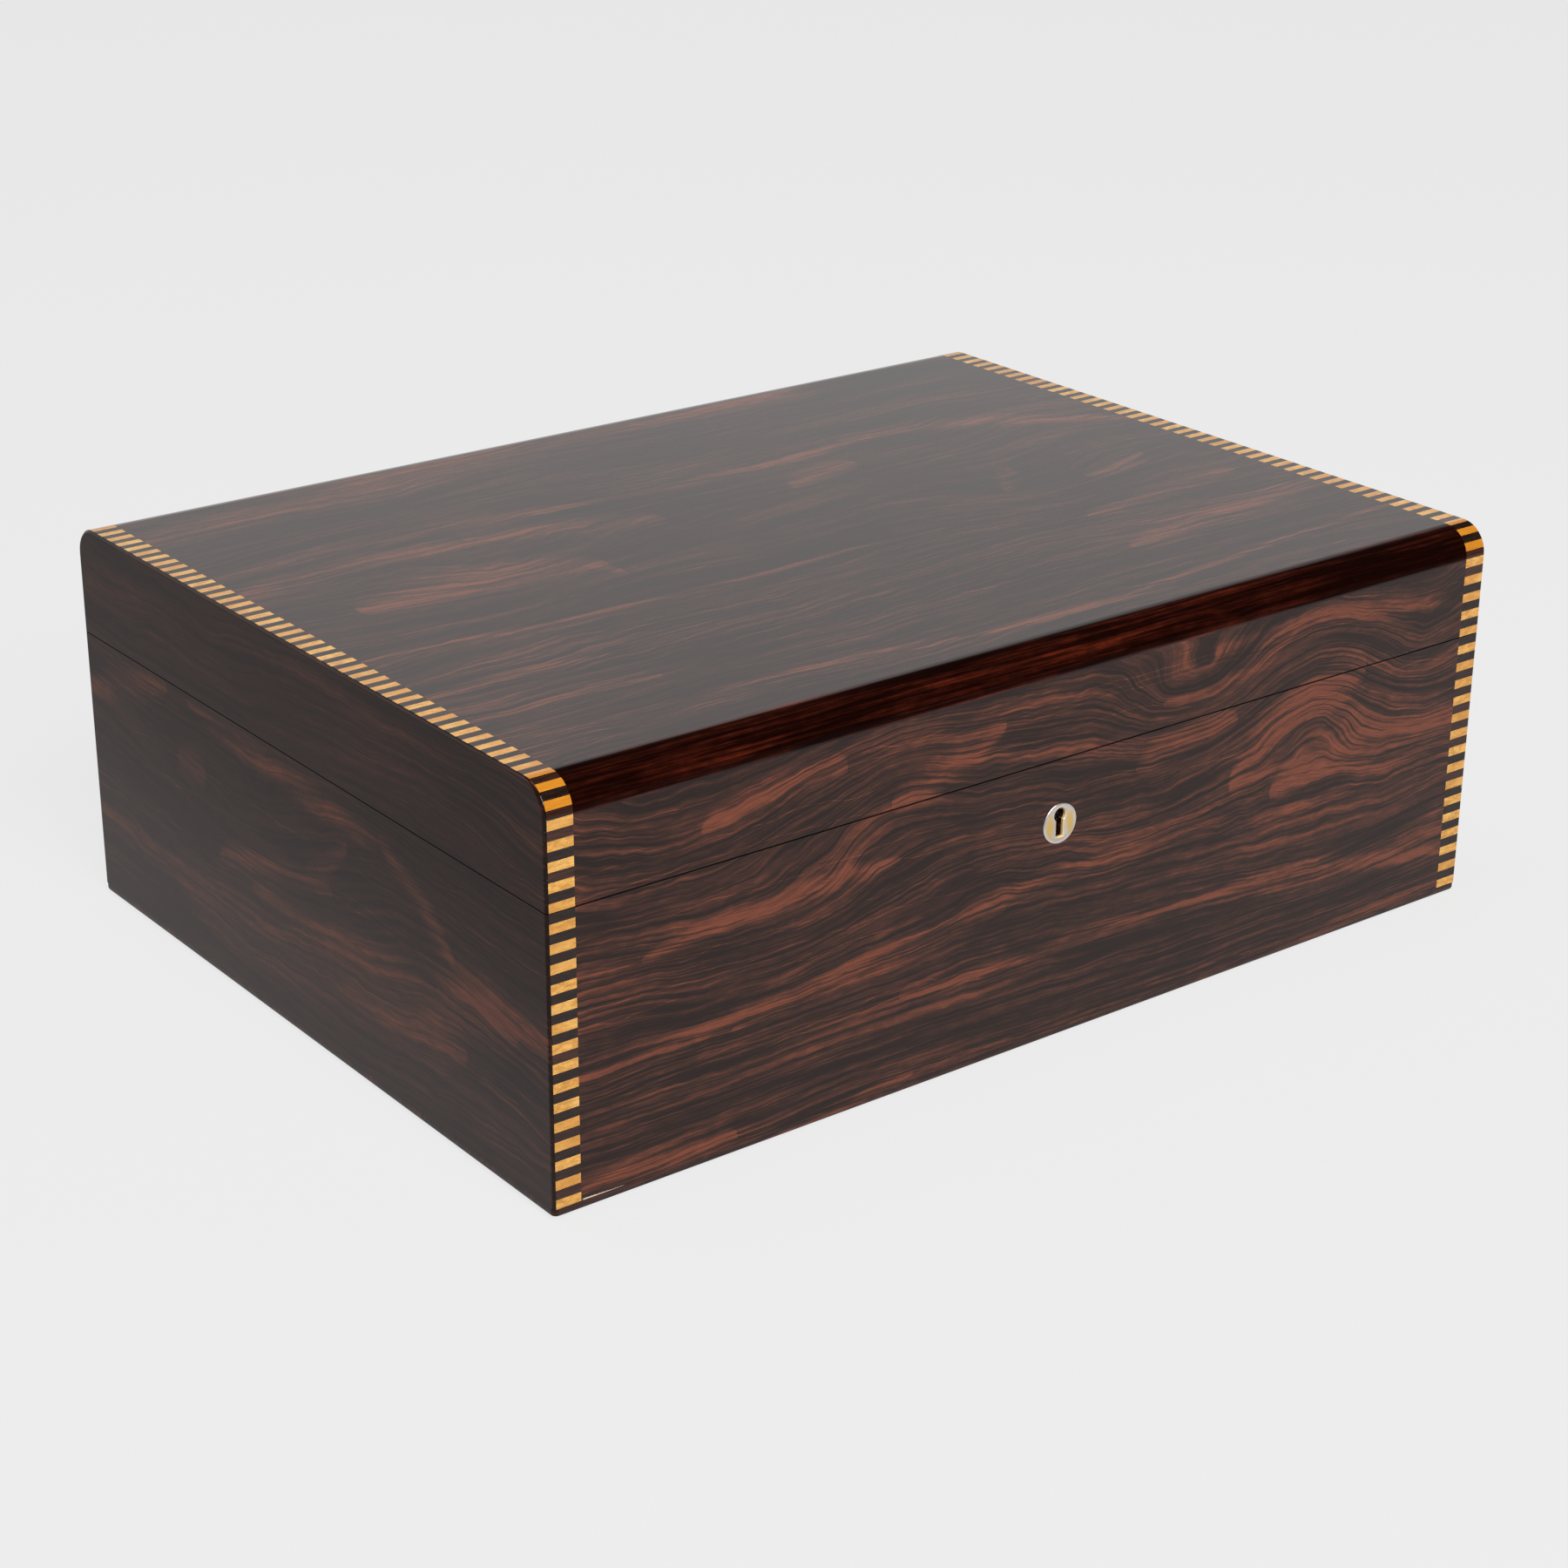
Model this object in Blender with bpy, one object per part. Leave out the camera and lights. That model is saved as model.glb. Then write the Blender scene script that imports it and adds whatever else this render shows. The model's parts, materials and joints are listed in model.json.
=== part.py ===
"""Inlaid wooden box: a veneered carcass that was glued up closed and then sawn into a base and a
lid, with block banding let into both ends, a mortised link lock and a pair of brass butt hinges.

Frame: the origin is on the floor under the middle of the box, +X runs along its length to the
right, -Y points to the front and +Z is up. Units are metres.

Every joint plane is nominal: the two pieces that meet there each stop half a glue line short.
"""

import math

import bmesh
import bpy
from mathutils import Vector

MM = 0.001

# Carcass, over its outer faces
LENGTH = 360 * MM
DEPTH = 268 * MM
BASE_HEIGHT = 91.1 * MM  # sole board's underside to the saw line
LID_HEIGHT = 36 * MM  # saw line to the top
WALL = 12 * MM
TOP_THICKNESS = 10 * MM
LIPPING_WIDTH = 10 * MM
SOLE_THICKNESS = 2.6 * MM
FLOOR_THICKNESS = 6 * MM
EDGE_RADIUS = 9.5 * MM  # round along the top's front and back edges
ARRIS = 1.2 * MM  # round on the edges of the end faces
SOLE_CORNER = 1.8 * MM

# Banding, measured from the end face and into the front, top and back faces
BAND_WIDTH = 9 * MM
BAND_DEPTH = 3 * MM
END_VENEER = 0.8 * MM  # the end board's skin that hides the ends of the blocks

# Linings
LINER_THICKNESS = 4 * MM
LINER_RISE = 5 * MM  # the base liners stand this far above the saw line, to locate the lid
LID_LINER_THICKNESS = 3 * MM
LINER_HEADROOM = 0.8 * MM  # between the base liners' tops and the lid liners
PAD_THICKNESS = 1.8 * MM
FELT_THICKNESS = 0.8 * MM
FELT_MARGIN = 4 * MM

# Hinges
HINGE_X = 110 * MM  # middle of each hinge from the middle of the box
HINGE_LENGTH = 40 * MM
KNUCKLE_RADIUS = 2.5 * MM
PIN_RADIUS = 1 * MM
PIN_PLAY = 0.05 * MM
LEAF_THICKNESS = 2 * MM
LEAF_WIDTH = 9 * MM  # from the pin's axis to the leaf's inner edge
HINGE_SCREW_SPREAD = 12 * MM

# Lock, with depths below the saw line
SELVEDGE_LENGTH = 48 * MM
SELVEDGE_WIDTH = 8 * MM
SELVEDGE_THICKNESS = 2 * MM
CASE_LENGTH = 37 * MM
CASE_WIDTH = 6.4 * MM
CASE_DEPTH = 28 * MM
CASE_PLATE = 0.8 * MM
KEYHOLE_DEPTH = 17.9 * MM  # middle of the keyhole's round part
KEYHOLE_RADIUS = 2.15 * MM
KEYHOLE_SLOT_WIDTH = 2.5 * MM
KEYHOLE_SLOT_REACH = 6.9 * MM  # from the round part's middle to the slot's foot
DRILL_PIN_RADIUS = 0.8 * MM
ESCUTCHEON_RADIUS = 6.45 * MM
ESCUTCHEON_THICKNESS = 1.2 * MM
ESCUTCHEON_PROUD = 0.4 * MM
ESCUTCHEON_DEPTH = 20.5 * MM
LINK_THICKNESS = 1.6 * MM
STAPLE_X = 9 * MM
STAPLE_THICKNESS = 2 * MM
STAPLE_REACH = 9 * MM
STAPLE_SIDE = 0.9 * MM  # metal left on each side of the staple's window
STAPLE_FOOT = 1.5 * MM  # metal left under the window
STAPLE_PLAY = 0.5 * MM
BOLT_PLAY = 0.4 * MM  # between the bolt's faces and the window's sides
BOLT_TRAVEL = 4 * MM
BOLT_BAR_DEPTH = 14 * MM
BOLT_BAR_HEIGHT = 4 * MM
BOLT_ARM = 3 * MM
PRONG_HEIGHT = 3 * MM
PRONG_STANDOFF = 0.6 * MM  # from the prong's tip to the staple when unlocked
TALON = 1.6 * MM
SPRING_THICKNESS = 0.4 * MM
SPRING_WIDTH = 1.8 * MM
SPRING_RISE = 4 * MM
LOCK_SCREW_X = 21.3 * MM

# Screws
SCREW_HEAD_RADIUS = 2.1 * MM
SCREW_HEAD_EDGE = 0.2 * MM
SCREW_SHANK_RADIUS = 0.95 * MM
SCREW_LENGTH = 9 * MM
SCREW_POINT = 1.2 * MM
SCREW_PLAY = 0.15 * MM

# Fits
GAP = 0.3 * MM  # glue line, or the saw line between the base and the lid
HALF_GAP = GAP / 2
OVERCUT = 5 * MM  # how far a cutter runs past the piece that it cuts
WELD = 0.5 * MM  # how far shapes that become one piece run into each other

ARC_STEPS = 8  # per quarter turn
TURN_STEPS = 24  # per full turn

# Nominal planes
END = LENGTH / 2
FACE = DEPTH / 2
FOOT = FELT_THICKNESS + GAP
WALL_FOOT = FOOT + SOLE_THICKNESS
SEAM = FOOT + BASE_HEIGHT
TOP = SEAM + LID_HEIGHT
CEILING = TOP - TOP_THICKNESS
INNER_X = END - WALL
INNER_Y = FACE - WALL
LAP = END - BAND_WIDTH  # the front and back boards end here, and the banding begins
VENEER = END - END_VENEER
BAND_SEAT = FACE - BAND_DEPTH
FLOOR_TOP = WALL_FOOT + FLOOR_THICKNESS
PAD_FACE = CEILING - PAD_THICKNESS
LOCK_Y = -(FACE - WALL / 2)
KEYHOLE_Z = SEAM - KEYHOLE_DEPTH
TOP_ROUND = min(EDGE_RADIUS, LIPPING_WIDTH, TOP_THICKNESS)

# Lock fits: the staples pass inside the case, and the bolt passes through their windows
STAPLE_WIDTH = CASE_WIDTH - 2 * (CASE_PLATE + GAP)
BOLT_THICKNESS = STAPLE_WIDTH - 2 * (STAPLE_SIDE + BOLT_PLAY)
PRONG_LENGTH = BOLT_TRAVEL - PRONG_STANDOFF + GAP  # the arm stops just short of the staple

SIDES = (("left", -1), ("right", 1))
ENDS_OF_DEPTH = (("front", -1), ("back", 1))


for old in list(bpy.data.objects):
    bpy.data.objects.remove(old, do_unlink=True)


def finish(name, colour, roughness, metallic=0.0):
    """A plain Principled BSDF material."""
    material = bpy.data.materials.new(name)
    material.use_nodes = True
    shader = material.node_tree.nodes["Principled BSDF"]
    shader.inputs["Base Color"].default_value = (*colour, 1)
    shader.inputs["Roughness"].default_value = roughness
    shader.inputs["Metallic"].default_value = metallic
    return material


VENEERED = finish("figured_rosewood", (0.050, 0.022, 0.015), 0.18)
LIPPING = finish("rosewood_lipping", (0.038, 0.014, 0.008), 0.15)
BANDING = finish("block_banding", (0.420, 0.210, 0.060), 0.22)
CEDAR = finish("cedar", (0.360, 0.160, 0.080), 0.60)
BOARD = finish("veneered_floor_board", (0.150, 0.075, 0.040), 0.60)
SUEDE = finish("suede", (0.060, 0.025, 0.020), 0.95)
BAIZE = finish("baize", (0.018, 0.016, 0.016), 0.98)
BRASS = finish("brass", (0.620, 0.440, 0.180), 0.28, 1.0)
NICKEL = finish("escutcheon_nickel", (0.660, 0.600, 0.500), 0.25, 1.0)
STEEL = finish("steel", (0.420, 0.410, 0.400), 0.35, 1.0)


def joint_empty(name, place):
    """An empty on a joint's axis, which the moving pieces are parented to."""
    empty = bpy.data.objects.new(name, None)
    empty.location = place
    bpy.context.scene.collection.objects.link(empty)
    return empty


LID = joint_empty("lid_axis", (0, FACE, SEAM))
BOLT = joint_empty("lock_bolt_axis", (0, LOCK_Y, SEAM - BOLT_BAR_DEPTH))


def piece(name, shape, material, parent=None, smooth=False):
    """A named object from a shape drawn in place, with its origin at the shape's middle."""
    bmesh.ops.recalc_face_normals(shape, faces=shape.faces)
    corners = [vert.co for vert in shape.verts]
    low = Vector(min(corner[axis] for corner in corners) for axis in range(3))
    high = Vector(max(corner[axis] for corner in corners) for axis in range(3))
    middle = (low + high) / 2
    bmesh.ops.translate(shape, vec=-middle, verts=shape.verts)
    mesh = bpy.data.meshes.new(name)
    shape.to_mesh(mesh)
    shape.free()
    mesh.materials.append(material)
    if smooth:
        mesh.shade_smooth()
        mesh.set_sharp_from_angle(angle=math.radians(35))
    made = bpy.data.objects.new(name, mesh)
    made.location = middle
    if parent:
        made.parent = parent
        made.location = middle - parent.location
    bpy.context.scene.collection.objects.link(made)
    return made


def box_shape(low, high):
    """A box between two corners."""
    shape = bmesh.new()
    size = Vector(high) - Vector(low)
    bmesh.ops.create_cube(shape, size=1)
    bmesh.ops.scale(shape, vec=size, verts=shape.verts)
    bmesh.ops.translate(shape, vec=Vector(low) + size / 2, verts=shape.verts)
    return shape


def prism_shape(outline, axis, low, high):
    """An outline in the plane across an axis, extruded along that axis from low to high."""
    shape = bmesh.new()
    start = []
    for point in outline:
        place = list(point)
        place.insert("XYZ".index(axis), low)
        start.append(shape.verts.new(place))
    face = shape.faces.new(start)
    grown = bmesh.ops.extrude_face_region(shape, geom=[face])["geom"]
    step = Vector((0, 0, 0))
    step["XYZ".index(axis)] = high - low
    bmesh.ops.translate(
        shape, vec=step, verts=[item for item in grown if isinstance(item, bmesh.types.BMVert)]
    )
    return shape


def turned_shape(profile):
    """A round solid about Z from (radius, height) pairs that start and end on the axis."""
    shape = bmesh.new()
    rings = []
    for radius, height in profile:
        turns = range(TURN_STEPS if radius else 1)
        angles = [turn * math.tau / TURN_STEPS for turn in turns]
        rings.append(
            [shape.verts.new((radius * math.cos(a), radius * math.sin(a), height)) for a in angles]
        )
    for upper, lower in zip(rings, rings[1:]):
        for turn in range(TURN_STEPS):
            after = turn + 1
            corners = (
                upper[turn % len(upper)],
                upper[after % len(upper)],
                lower[after % len(lower)],
                lower[turn % len(lower)],
            )
            # At the axis two corners are one point, which the dictionary keeps once.
            shape.faces.new(tuple(dict.fromkeys(corners)))
    return shape


def arc(centre, radius, start, end, steps=ARC_STEPS):
    """Points on a circle between two angles in degrees, both ends included."""
    angles = [math.radians(start + (end - start) * step / steps) for step in range(steps + 1)]
    return [
        (centre[0] + radius * math.cos(angle), centre[1] + radius * math.sin(angle))
        for angle in angles
    ]


def span(side, low, high):
    """A range that is measured outwards, on the side that the sign gives, lowest value first."""
    return sorted((side * low, side * high))


def cutter(name, shape, parent=None):
    """A piece that only cuts others."""
    made = piece(name + "_cutter", shape, BOARD, parent)
    made.hide_render = True
    made.display_type = "WIRE"
    return made


def combine(target, other, operation):
    """Cuts the other piece from the target, or joins it on."""
    modifier = target.modifiers.new(f"{operation.lower()}_{other.name}", "BOOLEAN")
    modifier.operation = operation
    modifier.object = other


def cut(target, other):
    combine(target, other, "DIFFERENCE")


def join(target, shape, name, parent=None):
    """Joins a further shape to the target, so that both are one solid."""
    combine(target, cutter(name, shape, parent), "UNION")


def block(name, x_range, y_range, z_range, material, parent=None):
    """A square-edged board."""
    low, high = zip(x_range, y_range, z_range)
    return piece(name, box_shape(low, high), material, parent)


# Screws: countersunk, one piece each. The hole that seats one is cut with its own outline.


def screw_profile(head_top, play):
    """The screw's outline from its head down, with every surface moved out by the play."""
    head = SCREW_HEAD_RADIUS + play
    shank = SCREW_SHANK_RADIUS + play
    neck = -SCREW_HEAD_EDGE - (SCREW_HEAD_RADIUS - SCREW_SHANK_RADIUS) - play
    return (
        (0, head_top),
        (head, head_top),
        (head, -SCREW_HEAD_EDGE - play),
        (shank, neck),
        (shank, SCREW_POINT - SCREW_LENGTH - play),
        (0, -SCREW_LENGTH - play),
    )


def screw(name, head_centre, inward, seats, material, parent=None):
    """A screw driven up (inward +1) or down (-1), and its hole through the pieces it holds."""
    turn = Vector((1, 1, -inward))
    shapes = []
    for head_top, play in ((0, 0), (OVERCUT, SCREW_PLAY)):
        shape = turned_shape(screw_profile(head_top, play))
        bmesh.ops.scale(shape, vec=turn, verts=shape.verts)
        bmesh.ops.translate(shape, vec=Vector(head_centre), verts=shape.verts)
        shapes.append(shape)
    piece(name, shapes[0], material, parent, smooth=True)
    hole = cutter(name + "_hole", shapes[1], parent)
    for seat in seats:
        cut(seat, hole)


# Base carcass


def round_arris(shape, plane_x, square_heights):
    """Rounds the outer face's edges, except those that lie level at a sawn or glued height."""
    edges = []
    for edge in shape.edges:
        ends = [vert.co for vert in edge.verts]
        outer = all(abs(end.x - plane_x) < HALF_GAP for end in ends)
        square = any(
            all(abs(end.z - height) < HALF_GAP for end in ends) for height in square_heights
        )
        if outer and not square:
            edges.append(edge)
    bmesh.ops.bevel(
        shape, geom=edges, offset=ARRIS, segments=3, profile=0.5, affect="EDGES", clamp_overlap=True
    )


def paired_strips(name, x_range, inner_y, z_range, parent=None):
    """A cutter for the front and the back at once: everything further out than inner_y."""
    shape = bmesh.new()
    for _, sign in ENDS_OF_DEPTH:
        low_y, high_y = span(sign, inner_y, FACE + OVERCUT)
        low = Vector((x_range[0], low_y, z_range[0]))
        size = Vector((x_range[1], high_y, z_range[1])) - low
        made = bmesh.ops.create_cube(shape, size=1)["verts"]
        bmesh.ops.scale(shape, vec=size, verts=made)
        bmesh.ops.translate(shape, vec=low + size / 2, verts=made)
    return cutter(name, shape, parent)


def make_end_wall(word, side):
    """An end wall, rebated for the banding and for the ends of the front and back walls."""
    low, high = WALL_FOOT + HALF_GAP, SEAM - HALF_GAP
    outline = ((-FACE, low), (FACE, low), (FACE, high), (-FACE, high))
    shape = prism_shape(outline, "X", *span(side, INNER_X, END))
    round_arris(shape, side * END, (low, high))
    wall = piece(f"{word}_wall", shape, VENEERED)
    heights = (WALL_FOOT - OVERCUT, SEAM + OVERCUT)
    band_x = span(side, INNER_X - OVERCUT, VENEER)
    lap_x = span(side, INNER_X - OVERCUT, LAP + HALF_GAP)
    cut(wall, paired_strips(f"{word}_band_rebate", band_x, BAND_SEAT - HALF_GAP, heights))
    cut(wall, paired_strips(f"{word}_lap_rebate", lap_x, INNER_Y - HALF_GAP, heights))


def make_base_banding(word, side):
    """The upright strips of banding at the front and the back of one end."""
    for face_word, sign in ENDS_OF_DEPTH:
        block(
            f"{face_word}_{word}_banding",
            span(side, LAP + HALF_GAP, VENEER - GAP),
            span(sign, BAND_SEAT + HALF_GAP, FACE),
            (WALL_FOOT + HALF_GAP, SEAM - HALF_GAP),
            BANDING,
        )


def make_sole_board():
    """The thin board under the whole base, with its corners and lower edge eased."""
    corner = SOLE_CORNER
    outline = []
    for sign_x, sign_y, start in ((1, 1, 0), (-1, 1, 90), (-1, -1, 180), (1, -1, 270)):
        centre = (sign_x * (END - corner), sign_y * (FACE - corner))
        outline += arc(centre, corner, start, start + 90, 4)
    shape = prism_shape(outline, "Z", FOOT, WALL_FOOT - HALF_GAP)
    lower = [
        edge for edge in shape.edges if all(vert.co.z < FOOT + HALF_GAP for vert in edge.verts)
    ]
    bmesh.ops.bevel(shape, geom=lower, offset=corner / 2, segments=2, profile=0.5, affect="EDGES")
    piece("sole_board", shape, VENEERED)


for side_word, side_sign in SIDES:
    make_end_wall(side_word, side_sign)
    make_base_banding(side_word, side_sign)

long_x = (-LAP + HALF_GAP, LAP - HALF_GAP)
wall_heights = (WALL_FOOT + HALF_GAP, SEAM - HALF_GAP)
front_wall = block("front_wall", long_x, span(-1, INNER_Y, FACE), wall_heights, VENEERED)
back_wall = block("back_wall", long_x, span(1, INNER_Y, FACE), wall_heights, VENEERED)
make_sole_board()
block(
    "floor_board",
    (-INNER_X + GAP, INNER_X - GAP),
    (-INNER_Y + GAP, INNER_Y - GAP),
    (WALL_FOOT + HALF_GAP, FLOOR_TOP - HALF_GAP),
    BOARD,
)
felt_x = END - FELT_MARGIN
felt_y = FACE - FELT_MARGIN
block("base_felt", (-felt_x, felt_x), (-felt_y, felt_y), (0, FELT_THICKNESS), BAIZE)


# Linings. The end liners run the full inner depth, and the front and back ones fit between.


def make_liners(prefix, thickness, heights, parent=None):
    """Four thin boards round the inside of the base or the lid."""
    for word, side in SIDES:
        x_range = span(side, INNER_X - GAP - thickness, INNER_X - GAP)
        y_range = (-INNER_Y + GAP, INNER_Y - GAP)
        block(f"{prefix}{word}_liner", x_range, y_range, heights, CEDAR, parent)
    between = INNER_X - thickness - 2 * GAP
    for word, sign in ENDS_OF_DEPTH:
        y_range = span(sign, INNER_Y - GAP - thickness, INNER_Y - GAP)
        block(f"{prefix}{word}_liner", (-between, between), y_range, heights, CEDAR, parent)


make_liners("base_", LINER_THICKNESS, (FLOOR_TOP + HALF_GAP, SEAM + LINER_RISE))
lid_liner_foot = SEAM + LINER_RISE + LINER_HEADROOM
make_liners("lid_", LID_LINER_THICKNESS, (lid_liner_foot, PAD_FACE - HALF_GAP), LID)

pad_x = INNER_X - LINER_THICKNESS - 2 * GAP
pad_y = INNER_Y - LINER_THICKNESS - 2 * GAP
pad_heights = (FLOOR_TOP + HALF_GAP, FLOOR_TOP + PAD_THICKNESS)
block("floor_pad", (-pad_x, pad_x), (-pad_y, pad_y), pad_heights, SUEDE)
block(
    "lid_pad",
    (-INNER_X + GAP, INNER_X - GAP),
    (-INNER_Y + GAP, INNER_Y - GAP),
    (PAD_FACE + HALF_GAP, CEILING - HALF_GAP),
    SUEDE,
    LID,
)


# Lid carcass


def lid_arch(inset, foot):
    """The lid's end outline, moved in by the inset: up the front, over the top, down the back."""
    corner = FACE - TOP_ROUND
    centre_z = TOP - TOP_ROUND
    radius = TOP_ROUND - inset
    return [
        (-FACE + inset, foot),
        *arc((-corner, centre_z), radius, 180, 90),
        *arc((corner, centre_z), radius, 90, 0),
        (FACE - inset, foot),
    ]


def surround(inner_path):
    """An outline of everything in front of, above and behind a path that starts at its foot."""
    low, high = SEAM - OVERCUT, TOP + OVERCUT
    reach = FACE + OVERCUT
    return [(-reach, low), (-reach, high), (reach, high), (reach, low), *reversed(inner_path)]


def make_lid_end(word, side):
    """A lid end: the end board, rebated for the banding and for the panel and rails it carries."""
    foot = SEAM + HALF_GAP
    shape = prism_shape(lid_arch(0, foot), "X", *span(side, INNER_X, END))
    round_arris(shape, side * END, (foot,))
    rail = piece(f"lid_{word}_rail", shape, VENEERED, LID)
    below = SEAM - OVERCUT
    band_path = surround(lid_arch(BAND_DEPTH + HALF_GAP, below))
    tongue = INNER_Y - HALF_GAP
    tongue_top = CEILING - HALF_GAP
    tongue_path = surround(
        [(-tongue, below), (-tongue, tongue_top), (tongue, tongue_top), (tongue, below)]
    )
    cuts = (("band_rebate", band_path, VENEER), ("lap_rebate", tongue_path, LAP + HALF_GAP))
    for purpose, path, outer_x in cuts:
        rebate = prism_shape(path, "X", *span(side, INNER_X - OVERCUT, outer_x))
        cut(rail, cutter(f"lid_{word}_{purpose}", rebate, LID))


def make_lid_banding(word, side):
    """Three strips of banding round one end of the lid, mitred half way round each corner."""
    x_range = span(side, LAP + HALF_GAP, VENEER - GAP)
    corner = FACE - TOP_ROUND
    centre_z = TOP - TOP_ROUND
    inner_radius = TOP_ROUND - BAND_DEPTH + HALF_GAP
    seat = BAND_SEAT + HALF_GAP
    mitre = math.degrees(HALF_GAP / TOP_ROUND)
    riser = [
        (FACE, SEAM + HALF_GAP),
        *arc((corner, centre_z), TOP_ROUND, 0, 45 - mitre),
        *arc((corner, centre_z), inner_radius, 45 - mitre, 0),
        (seat, SEAM + HALF_GAP),
    ]
    for face_word, sign in ENDS_OF_DEPTH:
        outline = [(sign * y, z) for y, z in riser]
        shape = prism_shape(outline, "X", *x_range)
        piece(f"lid_{face_word}_{word}_banding", shape, BANDING, LID, smooth=True)
    top_run = [
        *arc((corner, centre_z), TOP_ROUND, 45 + mitre, 90),
        *arc((-corner, centre_z), TOP_ROUND, 90, 135 - mitre),
        *arc((-corner, centre_z), inner_radius, 135 - mitre, 90),
        *arc((corner, centre_z), inner_radius, 90, 45 + mitre),
    ]
    shape = prism_shape(top_run, "X", *x_range)
    piece(f"lid_{word}_top_banding", shape, BANDING, LID, smooth=True)


def make_lipping(word, sign):
    """The solid quarter-round strip along the top's front or back edge."""
    inner_y = FACE - LIPPING_WIDTH + HALF_GAP
    low = CEILING + HALF_GAP
    round_corner = arc((FACE - TOP_ROUND, TOP - TOP_ROUND), TOP_ROUND, 0, 90)
    outline = [(inner_y, low), (FACE, low), *round_corner, (inner_y, TOP)]
    shape = prism_shape([(sign * y, z) for y, z in outline], "X", *long_x)
    piece(f"lid_{word}_lipping", shape, LIPPING, LID, smooth=True)


for side_word, side_sign in SIDES:
    make_lid_end(side_word, side_sign)
    make_lid_banding(side_word, side_sign)
for face_side, face_sign in ENDS_OF_DEPTH:
    make_lipping(face_side, face_sign)

rail_heights = (SEAM + HALF_GAP, CEILING - HALF_GAP)
lid_front = block("lid_front_rail", long_x, span(-1, INNER_Y, FACE), rail_heights, VENEERED, LID)
lid_back = block("lid_back_rail", long_x, span(1, INNER_Y, FACE), rail_heights, VENEERED, LID)
panel_y = FACE - LIPPING_WIDTH - HALF_GAP
block("lid_top_panel", long_x, (-panel_y, panel_y), (CEILING + HALF_GAP, TOP), VENEERED, LID)


# Hinges. The pin's axis lies in the back face at the height of the saw line. The base leaf
# carries the two outer knuckles, the lid leaf the middle one.


def knuckle_outline(up):
    """A knuckle with its neck, across the pin. up is +1 for the lid leaf and -1 for the base."""
    near, far = HALF_GAP, HALF_GAP + LEAF_THICKNESS
    start = -180 - math.degrees(math.asin(near / KNUCKLE_RADIUS))
    end = 180 - math.degrees(math.asin(far / KNUCKLE_RADIUS))
    neck = -KNUCKLE_RADIUS - GAP - WELD
    rim = arc((0, 0), KNUCKLE_RADIUS, -start, -end, TURN_STEPS)
    path = [(neck, -near), *rim, (neck, -far)]
    return [(FACE + y, SEAM - up * z) for y, z in path]


def pin_shape(middle_x, length, radius):
    """A cylinder about the hinge's axis."""
    centre = (FACE, SEAM)
    outline = arc(centre, radius, 0, 360, TURN_STEPS)[:-1]
    return prism_shape(outline, "X", middle_x - length / 2, middle_x + length / 2)


def make_leaf(name, middle_x, up, knuckles, board, parent):
    """One leaf let into the edge of a board, with its knuckles, pin hole and two screws."""
    surface = SEAM + up * HALF_GAP
    half = HINGE_LENGTH / 2
    plate = (FACE - LEAF_WIDTH, FACE - KNUCKLE_RADIUS - GAP)
    heights = sorted((surface, surface + up * LEAF_THICKNESS))
    leaf = block(name, (middle_x - half, middle_x + half), plate, heights, BRASS, parent)
    for count, (low, high) in enumerate(knuckles):
        shape = prism_shape(knuckle_outline(up), "X", middle_x + low, middle_x + high)
        join(leaf, shape, f"{name}_knuckle_{count}", parent)
    hole = pin_shape(middle_x, HINGE_LENGTH + OVERCUT, PIN_RADIUS + PIN_PLAY)
    cut(leaf, cutter(f"{name}_pin_hole", hole, parent))
    recess = box_shape(
        (middle_x - half - GAP, FACE - LEAF_WIDTH - GAP, min(SEAM, heights[0] - GAP)),
        (middle_x + half + GAP, FACE + OVERCUT, max(SEAM, heights[1] + GAP)),
    )
    cut(board, cutter(f"{name}_recess", recess, parent))
    barrel = pin_shape(middle_x, HINGE_LENGTH + 2 * GAP, KNUCKLE_RADIUS + GAP)
    cut(board, cutter(f"{name}_barrel_recess", barrel, parent))
    screw_y = sum(plate) / 2
    for word, side in SIDES:
        head = (middle_x + side * HINGE_SCREW_SPREAD, screw_y, surface)
        screw(f"{name}_{word}_screw", head, up, (leaf, board), BRASS, parent)


def make_hinge(word, side):
    """One butt hinge: two leaves and the pin."""
    middle_x = side * HINGE_X
    half = HINGE_LENGTH / 2
    third = HINGE_LENGTH / 3 / 2
    outer = ((-half, -third - HALF_GAP), (third + HALF_GAP, half))
    inner = ((-third + HALF_GAP, third - HALF_GAP),)
    make_leaf(f"{word}_hinge_base_leaf", middle_x, -1, outer, back_wall, None)
    make_leaf(f"{word}_hinge_lid_leaf", middle_x, 1, inner, lid_back, LID)
    shape = pin_shape(middle_x, HINGE_LENGTH, PIN_RADIUS)
    piece(f"{word}_hinge_pin", shape, STEEL, smooth=True)


for side_word, side_sign in SIDES:
    make_hinge(side_word, side_sign)


# Lock and escutcheon


def lock_box(half_length, half_width, low_depth, high_depth):
    """A box centred on the lock, between two depths below the saw line."""
    return box_shape(
        (-half_length, LOCK_Y - half_width, SEAM - low_depth),
        (half_length, LOCK_Y + half_width, SEAM - high_depth),
    )


def keyhole_outline():
    """A round hole with a slot below it, as (x, z)."""
    half = KEYHOLE_SLOT_WIDTH / 2
    meet = math.degrees(math.acos(half / KEYHOLE_RADIUS))
    foot = KEYHOLE_Z - KEYHOLE_SLOT_REACH
    rim = arc((0, KEYHOLE_Z), KEYHOLE_RADIUS, -meet, 180 + meet, 2 * ARC_STEPS)
    return [(half, foot), *rim, (-half, foot)]


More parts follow.
